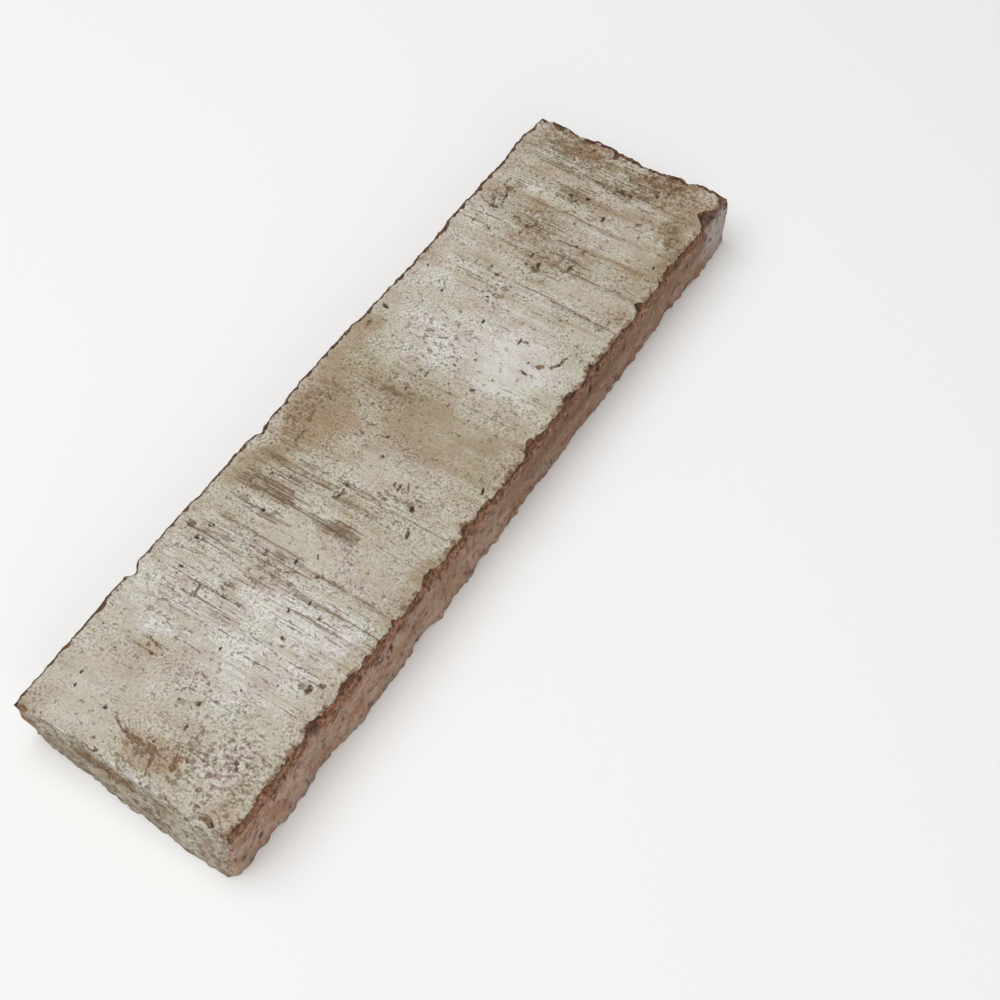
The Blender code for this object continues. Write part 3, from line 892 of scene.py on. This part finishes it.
def arris_widths(points):
    """Width of the broken strip along the right, left, near and far arris of the face."""
    x, y, _ = points.T
    coarse, fine, crumb = cloud(points, 7.0, 41, 2), cloud(points, 1.9, 42, 2), cloud(points, 0.8, 43)
    right = 0.10 + 0.20 * coarse + 0.45 * fine + 0.40 * crumb - 0.15 * marks_at(x, RIGHT_ARRIS_MARKS)
    right = right + marks_at(x, COAT_CHIPS)
    left = 0.35 + 0.45 * (1.0 - fade(x + 10.0, 40.0)) + 0.35 * coarse + 0.45 * fine + 0.40 * crumb
    near = 0.30 + 0.2 * coarse + 0.3 * fine
    far = 0.70 + 0.9 * coarse + 0.8 * fine + 0.5 * crumb
    return [np.maximum(width, 0.05) for width in (right, left, near, far)]


def shape_slip(block, spot_depth):
    """Moves the block's skin to the slip's.

    Each wall goes out by the solid's outline, less its broken arris, grain, crumbs and pits, and the move
    dies out inwards. The face goes down by its waves, its broken arris, hairlines, grain and spots.
    """
    x, y, z = block.T
    half_length, half_width = FACE_LENGTH / 2, FACE_WIDTH / 2
    in_near, in_far = x + half_length, half_length - x
    in_right, in_left = y + half_width, half_width - y
    below = THICKNESS - z

    out_near = near_out(y, z) * fade(in_near, REACH)
    out_far = far_out(y, z) * fade(in_far, REACH)
    out_right = right_out(x, z) * fade(in_right, REACH)
    out_left = left_out(x, z) * fade(in_left, REACH)
    drop = face_drop(x, y) * (z / THICKNESS) ** 2

    # A broken arris cuts the corner off: what lies within its width goes half way in and half way down.
    broken = []
    for inward, width in zip((in_right, in_left, in_near, in_far), arris_widths(block)):
        broken.append(0.5 * np.maximum(0.0, width - inward - below))
    out_right -= broken[0] - 0.10 * fade(in_right, 1.5)
    out_left -= broken[1] - 0.20 * fade(in_left, 1.5)
    out_near -= broken[2]
    out_far -= broken[3] - 0.30 * fade(in_far, 1.5)
    drop += np.max(broken, axis=0)

    # The upright corner between the near end and the right side is rounded.
    corner = 0.5 * np.maximum(0.0, CORNER_ROUND - in_near - in_right)
    out_near -= corner
    out_right -= corner

    # Skin roughness of the walls, and crumbs at the foot.
    grain = cloud(block, (2.6, 2.6, 1.6), 51, 3)
    coarse = cloud(block, (5.0, 5.0, 3.0), 52, 2)
    crumbs = cloud(block, (1.7, 1.7, 2.5), 53, 3) * fade(z, 2.5)
    small = cloud(block, (1.0, 1.0, 1.6), 55, 2) * fade(z, 2.0)
    ripple = cloud(block, (30.0, 30.0, 1.3), 54, 2)
    torn = fade(below, TORN_BAND)
    out_right -= (0.12 * grain + 0.35 * torn * coarse + 0.7 * crumbs) * fade(in_right, 1.5)
    out_left -= (0.12 * grain + 0.15 * coarse + 0.7 * crumbs) * fade(in_left, 1.5)
    out_near -= (0.14 * grain + 0.16 * ripple + 0.4 * small) * fade(in_near, 1.5)
    out_far -= (0.30 * grain + 0.35 * coarse + 0.5 * crumbs) * fade(in_far, 1.5)
    # The near end meets the face in a soft roll, and a narrow groove runs along it.
    rolled = fade(below, 1.6) * (1.0 - fade(in_left, 7.0))
    out_near -= (GROOVE_DEPTH * groove(y, z) + 0.2 * rolled) * fade(in_near, 1.5)
    out_near += 0.6 * fade(in_left, 5.0) * fade(below, 7.0) * fade(in_near, 6.0)
    drop += 0.35 * fade(in_near, 2.6) * rolled
    for mx, mz, hx, hz, _, depth in SIDE_SPOTS:
        out_right -= depth * ellipse(x, z, mx, mz, 1.2 * hx, 1.2 * hz) * fade(in_right, 1.0)

    # Drag marks, pits and grain of the face, downwards only.
    hairlines = cloud(block, (0.9, 16.0, 30.0), 61, 2)
    skin = cloud(block, (1.6, 2.2, 30.0), 62, 3)
    drop += (0.06 + 0.05 * hairlines + 0.05 * skin + spot_depth) * fade(below, 0.5)
    return np.stack([x + out_far - out_near, y + out_left - out_right, z - drop * (z > 0)], axis=1)


def bare_clay(block):
    """1 where clay shows and 0 under the coat.

    The right, left and far walls are bare, and so is a strip along each of their arrises, as far in as the
    arris is broken. Noise makes its rim ragged. The coat runs round the near end, thinner at its foot.
    """
    x, y, z = block.T
    below = THICKNESS - z
    ragged = 0.6 * cloud(block, 1.3, 71, 3) + 0.4 * cloud(block, 0.6, 72, 2)
    right, left, _, far = arris_widths(block)
    to_right, to_left = y + FACE_WIDTH / 2, FACE_WIDTH / 2 - y
    to_far, to_near = FACE_LENGTH / 2 - x, x + FACE_LENGTH / 2
    strip = np.max(
        [
            0.6 - (to_right + below - right) / 0.5,
            0.8 - (to_left + below - 0.2 - left) / 0.5,
            0.9 - (to_far + below - 0.3 - far) / 0.6,
        ],
        axis=0,
    )
    wall = (below > 0.3) & (to_near > ON_WALL)
    bare = np.clip(np.where(wall, 1.0, strip) + ragged * 0.8, 0.0, 1.0)
    on_near = np.clip(0.10 + 0.6 * ragged + 0.30 * fade(z, 3.0), 0.0, 1.0)
    return np.where(to_near < ON_WALL, on_near, bare)


def side_fields(block):
    """Rust, dark marks, painted shade, a painted sheen and painted glints of the sides at each point, between
    0 and 1.

    A side is rusty above a wandering line under the torn band. It is dark in its listed pits, partly as
    painted shade, with painted shade in the bites of the right arris, and, on the left side and the far end,
    just under the face.
    """
    x, y, z = block.T
    below = THICKNESS - z
    on_right = y < ON_WALL - FACE_WIDTH / 2
    torn_to = THICKNESS - 1.5 * TORN_BAND + 1.3 * cloud(block, (5.0, 5.0, 90.0), 81, 3)
    # Dark pits and marks, partly painted shade in the pits.
    side_pits = sum(
        dark * np.minimum(1.0, 2.0 * ellipse(x, z, mx, mz, 1.3 * hx, 1.3 * hz))
        for mx, mz, hx, hz, dark, _ in SIDE_SPOTS
    )
    # Painted shade in the hollows where the right arris is bitten in.
    bite_shade = -0.35 * marks_at(x, RIGHT_ARRIS_MARKS) * fade(below, 4.5) * (1.0 + cloud(block, 1.6, 85, 2))
    # The left side and the far end are a little darker just under the face.
    darker_under_face = 0.5 * fade(FACE_WIDTH / 2 - y, 2.0) + 0.35 * fade(FACE_LENGTH / 2 - x, 2.0)
    darker_under_face = darker_under_face * (0.3 + 0.7 * fade(below, 3.5))
    # The rim of the painted sheen wanders.
    sheen_x, sheen_z = x + 2.0 * cloud(block, 5.0, 83, 3), z + 2.0 * cloud(block, 5.0, 84, 3)
    glints = sum(ellipse(x, z, mx, mz, 1.3 * hx, 1.3 * hz) for mx, mz, hx, hz in SIDE_GLINTS)
    return {
        "torn": np.clip((z - torn_to) / 1.5 + 0.8 * cloud(block, 1.5, 82, 2) + 0.3, 0.0, 1.0),
        "side_dark": np.clip(np.where(on_right, np.maximum(side_pits, bite_shade), darker_under_face), 0.0, 1.0),
        "sheen": on_right * np.clip(1.6 * ellipse(sheen_x, sheen_z, *PAINTED_SHEEN), 0.0, 1.0),
        "glint": on_right * glints,
    }


def linear(code):
    """An sRGB hex colour as the linear colour that a shader takes."""
    values = [int(code[i : i + 2], 16) / 255.0 for i in (1, 3, 5)]
    return tuple(v / 12.92 if v <= 0.04045 else ((v + 0.055) / 1.055) ** 2.4 for v in values) + (1.0,)


def add_node(tree, kind, *values, inputs=(), output=0, **settings):
    """Adds a node, sets its properties, gives each input a value or a link, and returns one of its outputs.

    Values go to the node's inputs in their order, and inputs holds others by their name or number.
    """
    node = tree.nodes.new("ShaderNode" + kind)
    for name, value in settings.items():
        setattr(node, name, value)
    for name, value in [*enumerate(values), *dict(inputs).items()]:
        if isinstance(value, bpy.types.NodeSocket):
            tree.links.new(value, node.inputs[name])
        else:
            node.inputs[name].default_value = value
    return node.outputs[output]


EASED = {"interpolation_type": "SMOOTHSTEP"}  # for a Map Range node
COLOURS = {"data_type": "RGBA", "output": 2}  # for a Mix node
RELIEF = 0.38  # mm, of what is finer than the mesh

# Noises: cells in mm along the slip, across it and up, then detail, roughness and distortion.
NOISES = {
    "patch": ((5, 7, 5), 3, 0.55, 0),
    "mottle": ((8, 11, 8), 5, 0.6, 0.5),
    "grain": ((1.5, 1.9, 1.5), 6, 0.74, 0.2),
    "fleck": ((0.6, 0.85, 0.6), 4, 0.62, 0),
    "speckle": ((0.42, 0.55, 0.42), 3, 0.6, 0),
    "warmth": ((2.2, 3.4, 2.2), 4, 0.6, 0.8),
    "fine": ((0.45, 8, 8), 3, 0.6, 0),
    "broad": ((1.2, 26, 8), 3, 0.55, 0),
    "bands": ((3.2, 60, 8), 2, 0.5, 0),
    "along": ((1.2, 3.5, 8), 3, 0.6, 0),
    "rag": ((1.3, 1.9, 1.3), 6, 0.68, 0.3),
    "pinholes": ((0.5, 0.6, 0.5), 2, 0.5, 0),
    "clay_cloud": ((9, 9, 4), 4, 0.6, 0),
    "crumb": ((3, 3, 2.2), 4, 0.6, 0.5),
}

# Sums of the fields and noises: a start, and each one's share.
SUMS = {
    "stripes": (-1.0, {"broad": 1, "bands": 1}),
    "hairy": (0.9, {"hair": 3.2}),
    "clouded": (-1.6, {"patch": 1.6, "grain": 1.6, "tint": 1}),
    "worn_patch": (0.0, {"patch": 1, "worn": 0.25}),
    # The chalky grain follows the relief's hollows: partly the coat's own grain, partly painted shade.
    "chalk_and_relief_shade": (-1.4, {"speckle": 1.3, "fleck": 0.8, "grain": 0.7}),
    "line": (-0.3, {"lines": 1, "broad": 0.6}),
    "scratch": (-0.1, {"fine": 0.6, "broad": 0.4, "fleck": 0.2, "hair": 0.095, "lines": 0.085}),
    "wear": (0.0, {"rag": 1, "fleck": 0.2, "worn": 0.16}),
    "pin": (0.0, {"pinholes": 0.8, "patch": 0.3}),
    "off": (-1.1, {"spots": 1, "fleck": 1.1, "grain": 1.1}),
    "edge": (-0.25, {"bare": 1, "fleck": 0.5}),
}

# Layers of colour, each over the last: the value it follows, the two levels of that value between which it
# eases, how much of it shows at each, and its colour.
COAT_LAYERS = (
    ("uneven", 0, 1.3, 0, 1, "#E1DDDB"),
    ("uneven", 0, -1, 0, 1, "#AB9981"),
    ("uneven", -0.9, -1.9, 0, 1, "#7F6957"),
    ("orange", 0.1, 1, 0, 0.45, "#A8836A"),
    ("mottle", 0.44, 0.66, 0, 0.3, "#A5957E"),
)
CLAY_LAYERS = (
    ("clay_cloud", 0.4, 0.6, 0, 1, "#B98C70"),
    ("patch", 0.38, 0.56, 0.7, 0, "#B9A588"),
    ("grain", 0.48, 0.7, 0, 0.75, "#86604B"),
)
RUST_LAYERS = (
    ("grain", 0.42, 0.6, 0, 1, "#865538"),
    ("crumb", 0.53, 0.6, 0, 0.6, "#74482F"),
    ("rag", 0.54, 0.64, 0, 1, "#4F2F1E"),
    ("fleck", 0.52, 0.6, 0, 0.7, "#54392B"),
    ("fleck", 0.42, 0.34, 0, 0.7, "#D3AD95"),
)
BROWN_LAYERS = (
    ("fleck", 0.38, 0.6, 0, 1, "#745A42"),
    ("orange", 0.1, 0.9, 0, 1, "#A37B58"),
)


def layered(node, values, base, layers):
    """A base colour with the listed layers over it."""
    colour = linear(base)
    for name, low, high, at_low, at_high, upper in layers:
        amount = node("MapRange", values[name], low, high, at_low, at_high, **EASED)
        colour = node("Mix", inputs={0: amount, 6: colour, 7: linear(upper)}, **COLOURS)
    return colour


def eased_product(node, values, *rows):
    """The product of some values, each eased between two of its levels from one amount to another."""
    product = 1.0
    for name, low, high, at_low, at_high in rows:
        share = node("MapRange", values[name], low, high, at_low, at_high, **EASED)
        product = node("Math", product, share, operation="MULTIPLY")
    return product


def coat_colour(node, values):
    """The whole coat: buff, with whiter and tanner areas whose rims are broken up by mottle and streaks, a
    pinkish and greenish cloudiness, and a chalky grain, coarse in some places and nearly gone in others. The
    grain is partly painted shade in the hollows of the fine relief and painted light on its tops.
    """
    stripes, hairy, clouded = (values[name] for name in ("stripes", "hairy", "clouded"))
    values["uneven"] = node("Math", stripes, hairy, clouded, operation="MULTIPLY_ADD")
    coat = layered(node, values, "#C8BFB2", COAT_LAYERS)
    values["rough"] = eased_product(
        node,
        values,
        ("worn_patch", 0.4, 0.62, 0.5, 1),
        ("smooth", 0, 1, 1.1, 0.38),
        ("worn", 0.3, 1, 1, 1.3),
        ("tint", 0.2, 0.9, 1, 0.7),
    )
    values["chalk_and_relief_shade"] = node("Math", values["chalk_and_relief_shade"], values["rough"], operation="MULTIPLY")

    # Cloudiness, warmth and the chalky grain each take the colour from one tint to another. The grain's dark
    # end is partly painted shade in the hollows of the fine relief, and its light end partly painted light on
    # its tops.
    for name, low, high, first, second in (
        ("mottle", 0.38, 0.62, (0.97, 1, 0.98, 1), (1, 0.975, 0.98, 1)),
        ("warmth", 0.38, 0.62, (0.985, 1.01, 0.965, 1), (1.015, 0.985, 1.015, 1)),
        ("chalk_and_relief_shade", -0.16, 0.3, (1.13, 1.14, 1.12, 1), (0.57, 0.54, 0.48, 1)),
    ):
        amount = node("MapRange", values[name], low, high, **EASED)
        shade = node("Mix", inputs={0: amount, 6: first, 7: second}, **COLOURS)
        coat = node("Mix", inputs={0: 1.0, 6: coat, 7: shade}, blend_type="MULTIPLY", **COLOURS)
    gritty = node("MapRange", values["grain"], 0.6, 0.7, 0, 0.6, **EASED)
    gritty = node("Math", gritty, values["rough"], operation="MULTIPLY")
    return node("Mix", inputs={0: gritty, 6: coat, 7: linear("#836F5B")}, **COLOURS)


def face_colour(node, values):
    """The coat with its drag lines, wear and spots over it, and the height of their relief.

    A drag line is soft tan where the coat is thin, and has scratches down to the brown clay in it, broken up
    by noises with cells 0.45 and 1.2 mm wide and many times as long. A listed line's core is 0.3 mm wide.
    Wear is ragged brown mottles and pinholes, and in a spot the coat is off; the darkest spots are partly
    painted shade in their pits.
    """
    coat = coat_colour(node, values)
    line = node("MapRange", values["line"], 0.1, 0.65, **EASED)
    drag = node("MapRange", values["scratch"], 0.6, 0.68, **EASED)
    values["from_core"] = node("Math", values["core_offset"], operation="ABSOLUTE")
    core = eased_product(node, values, ("from_core", 0.24, 0.06, 0, 1), ("along", 0.38, 0.52, 0, 1))
    core = node("Math", core, values["core"], operation="MULTIPLY")
    wear = node("MapRange", values["wear"], 0.69, 0.77, **EASED)
    deep = node("MapRange", values["wear"], 0.78, 0.86, **EASED)
    speck = node("MapRange", values["pin"], 0.665, 0.75, **EASED)
    speck = node("Math", speck, values["rough"], operation="MULTIPLY")

    tan = layered(node, values, "#9A886F", [("orange", 0.1, 0.8, 0, 1, "#96734F")])
    brown = layered(node, values, "#987C60", BROWN_LAYERS)
    dark = layered(node, values, "#33281F", [("orange", 0.2, 1, 0, 1, "#9A7150")])
    lighter, darker = linear("#8F6A46"), linear("#765C44")
    core_brown = node("Mix", inputs={0: values["orange"], 6: darker, 7: lighter}, **COLOURS)
    face = coat
    for amount, share, upper in (
        (line, 0.38, tan),
        (drag, 0.75, brown),
        (core, 0.7, core_brown),
        (wear, 0.65, brown),
        (deep, 0.7, linear("#5A4434")),
        (speck, 0.55, linear("#66533F")),
        (node("MapRange", values["off"], 0.28, 0.55, **EASED), 0.7, brown),
        # The darkest spots: partly bare clay, partly painted shade in their pits.
        (node("MapRange", values["off"], 0.5, 0.85, **EASED), 0.95, dark),
    ):
        amount = node("Math", amount, share, operation="MULTIPLY")
        face = node("Mix", inputs={0: amount, 6: face, 7: upper}, **COLOURS)

    height = 0.0
    for value, depth in (
        (drag, 0.25),
        (core, 0.4),
        (values["fleck"], 0.8),
        (values["grain"], 0.8),
        (values["speckle"], 0.5),
        (speck, 0.35),
        (wear, 0.25),
        (node("MapRange", values["off"], 0.3, 0.7, **EASED), 0.6),
    ):
        height = node("Math", value, -depth, height, operation="MULTIPLY_ADD")
    return face, height


def clay_colour(node, values):
    """Bare clay: pinkish brown and smooth where it was extruded, rusty and rough where it is torn."""
    clay = layered(node, values, "#D0AC9D", CLAY_LAYERS)
    under_face = node("MapRange", values["rag"], 0.35, 0.6, 0.2, 0.9, **EASED)
    sheen_grain = node("MapRange", values["grain"], 0.6, 0.4, 0.5, 0.95, **EASED)
    for amount, upper in (
        (
            eased_product(node, values, ("fleck", 0.5, 0.64, 0, 0.6), ("patch", 0.4, 0.6, 0.4, 1)),
            linear("#74523E"),
        ),
        (node("MapRange", values["fleck"], 0.43, 0.3, 0, 0.4, **EASED), linear("#DCC4B4")),
        (node("Math", values["far_half"], 0.5, operation="MULTIPLY"), linear("#7F5A44")),
        (values["torn"], layered(node, values, "#C29070", RUST_LAYERS)),
        (node("Math", values["lip"], under_face, operation="MULTIPLY"), linear("#5C3A28")),
        # A painted pale sheen near the far end of the right side, broken up by the grain.
        (node("Math", values["sheen"], sheen_grain, operation="MULTIPLY"), linear("#C9C0BC")),
        (values["side_dark"], linear("#3B2C23")),
        # Painted glints.
        (values["glint"], linear("#CDBBA6")),
    ):
        clay = node("Mix", inputs={0: amount, 6: clay, 7: upper}, **COLOURS)
    return clay


def coated_clay(fields):
    """Fired clay under a lime and clay slurry: dull, chalky where whole, brown where the drag thinned it.

    It reads the mesh's fields by their names. The coat ends in a broken edge with a painted shadow under it.
    """
    material = bpy.data.materials.new("slurry_coated_fired_clay")
    material.use_nodes = True
    tree = material.node_tree
    shader = tree.nodes["Principled BSDF"]
    node = functools.partial(add_node, tree)
    values = {name: node("Attribute", attribute_name=name, output="Fac") for name in fields}
    place = node("TexCoord", output="Object")
    for name, (cell, detail, rough, twist) in NOISES.items():
        scaled = node("Mapping", inputs={"Vector": place, "Scale": tuple(1.0 / (MM * c) for c in cell)})
        look = {"Vector": scaled, "Scale": 1.0, "Detail": detail, "Roughness": rough, "Distortion": twist}
        values[name] = node("TexNoise", inputs=look, output="Fac")
    for name, (total, shares) in SUMS.items():
        for part, share in shares.items():
            total = node("Math", values[part], share, total, operation="MULTIPLY_ADD")
        values[name] = total

    face, height = face_colour(node, values)
    bare = node("MapRange", values["edge"], 0.35, 0.65, **EASED)
    colour = node("Mix", inputs={0: bare, 6: face, 7: clay_colour(node, values)}, **COLOURS)
    # A painted shadow: a dark ragged line on the clay just past the coat's broken edge.
    under = eased_product(
        node, values, ("edge", 0.4, 0.6, 0, 1), ("edge", 1, 0.7, 0, 1), ("rag", 0.42, 0.56, 0.25, 0.85)
    )
    colour = node("Mix", inputs={0: under, 6: colour, 7: linear("#3F2C20")}, **COLOURS)
    tree.links.new(colour, shader.inputs["Base Color"])
    tree.links.new(node("MapRange", bare, 0, 1, 0.88, 0.8, **EASED), shader.inputs["Roughness"])
    shader.inputs["Specular IOR Level"].default_value = 0.3
    bumped = node("Bump", inputs={"Strength": 1.0, "Distance": RELIEF * MM, "Height": height})
    tree.links.new(bumped, shader.inputs["Normal"])
    return material


def brick_slip():
    """The dressed slip, one closed mesh that stands for the solid."""
    block, quads, back = block_surface()
    fields, spot_depth = surface_fields(block)
    points = shape_slip(block, spot_depth)
    fields["bare"] = bare_clay(block)
    fields.update(side_fields(block))

    points = points * MM + np.array([FACE_MIDDLE[0] * MM, FACE_MIDDLE[1] * MM, 0.0])
    points = np.clip(points, cad_box[0], cad_box[1])
    mesh = bpy.data.meshes.new("brick_slip_dressed")
    mesh.from_pydata(points.tolist(), [], quads.tolist() + [back.tolist()])
    mesh.update()
    for name, values in fields.items():
        layer = mesh.attributes.new(name, "FLOAT", "POINT")
        layer.data.foreach_set("value", values.astype(np.float32))
    smooth = np.ones(len(mesh.polygons), dtype=bool)
    smooth[-1] = False
    mesh.polygons.foreach_set("use_smooth", smooth)
    mesh.materials.append(coated_clay(fields))
    slip = bpy.data.objects.new("brick_slip_dressed", mesh)
    bpy.context.scene.collection.objects.link(slip)
    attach(slip, "root")
    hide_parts(NODE)


def pale_floor():
    """A plain matt floor, far larger than the view."""
    mesh = bpy.data.meshes.new("floor")
    corners = [(FLOOR_HALF * x, FLOOR_HALF * y, 0.0) for x, y in ((-1, -1), (1, -1), (1, 1), (-1, 1))]
    mesh.from_pydata(corners, [], [(0, 1, 2, 3)])
    floor = bpy.data.objects.new("floor", mesh)
    bpy.context.scene.collection.objects.link(floor)
    material = bpy.data.materials.new("matt_white_board")
    material.use_nodes = True
    shader = material.node_tree.nodes["Principled BSDF"]
    shader.inputs["Base Color"].default_value = linear("#F4F4F3")
    shader.inputs["Roughness"].default_value = 0.9
    mesh.materials.append(material)


def soft_lights():
    """A broad light overhead, a weaker one from the camera's side (metres and watts), and a pale surround."""
    for name, place, size, power in (
        ("overhead", (-0.15, 0.25, 1.1), 1.3, 13.2),
        ("side_fill", (-0.9, -0.9, 0.7), 0.9, 4.2),
    ):
        data = bpy.data.lights.new(name, "AREA")
        data.size = size
        data.energy = power
        light = bpy.data.objects.new(name, data)
        light.location = place
        light.rotation_euler = Vector(place).to_track_quat("Z", "Y").to_euler()
        bpy.context.scene.collection.objects.link(light)
    world = bpy.data.worlds.new("studio")
    world.use_nodes = True
    world.node_tree.nodes["Background"].inputs["Color"].default_value = linear("#FFFFFF")
    world.node_tree.nodes["Background"].inputs["Strength"].default_value = 0.22
    bpy.context.scene.world = world
    bpy.context.scene.view_settings.view_transform = "Standard"


def photo_camera():
    """The photograph's camera: it looks back along its azimuth and elevation, rolled a little."""
    azimuth, elevation, roll = (math.radians(a) for a in (VIEW_AZIMUTH, VIEW_ELEVATION, VIEW_ROLL))
    level_part = math.cos(elevation)
    back = Vector((math.sin(azimuth) * level_part, -math.cos(azimuth) * level_part, math.sin(elevation)))
    level = Vector((math.cos(azimuth), math.sin(azimuth), 0.0))
    upright = back.cross(level)
    right = level * math.cos(roll) - upright * math.sin(roll)
    up = level * math.sin(roll) + upright * math.cos(roll)
    turn = Matrix((right, up, back)).transposed().to_4x4()
    middle = Vector((*FACE_MIDDLE, THICKNESS)) + Vector(CAMERA_PLACE)
    data = bpy.data.cameras.new("camera")
    data.sensor_width = 36.0
    data.lens = LENS
    data.clip_start = 0.01
    camera = bpy.data.objects.new("camera", data)
    camera.matrix_world = Matrix.Translation(middle * MM) @ turn
    bpy.context.scene.collection.objects.link(camera)
    bpy.context.scene.camera = camera


brick_slip()
pale_floor()
soft_lights()
photo_camera()
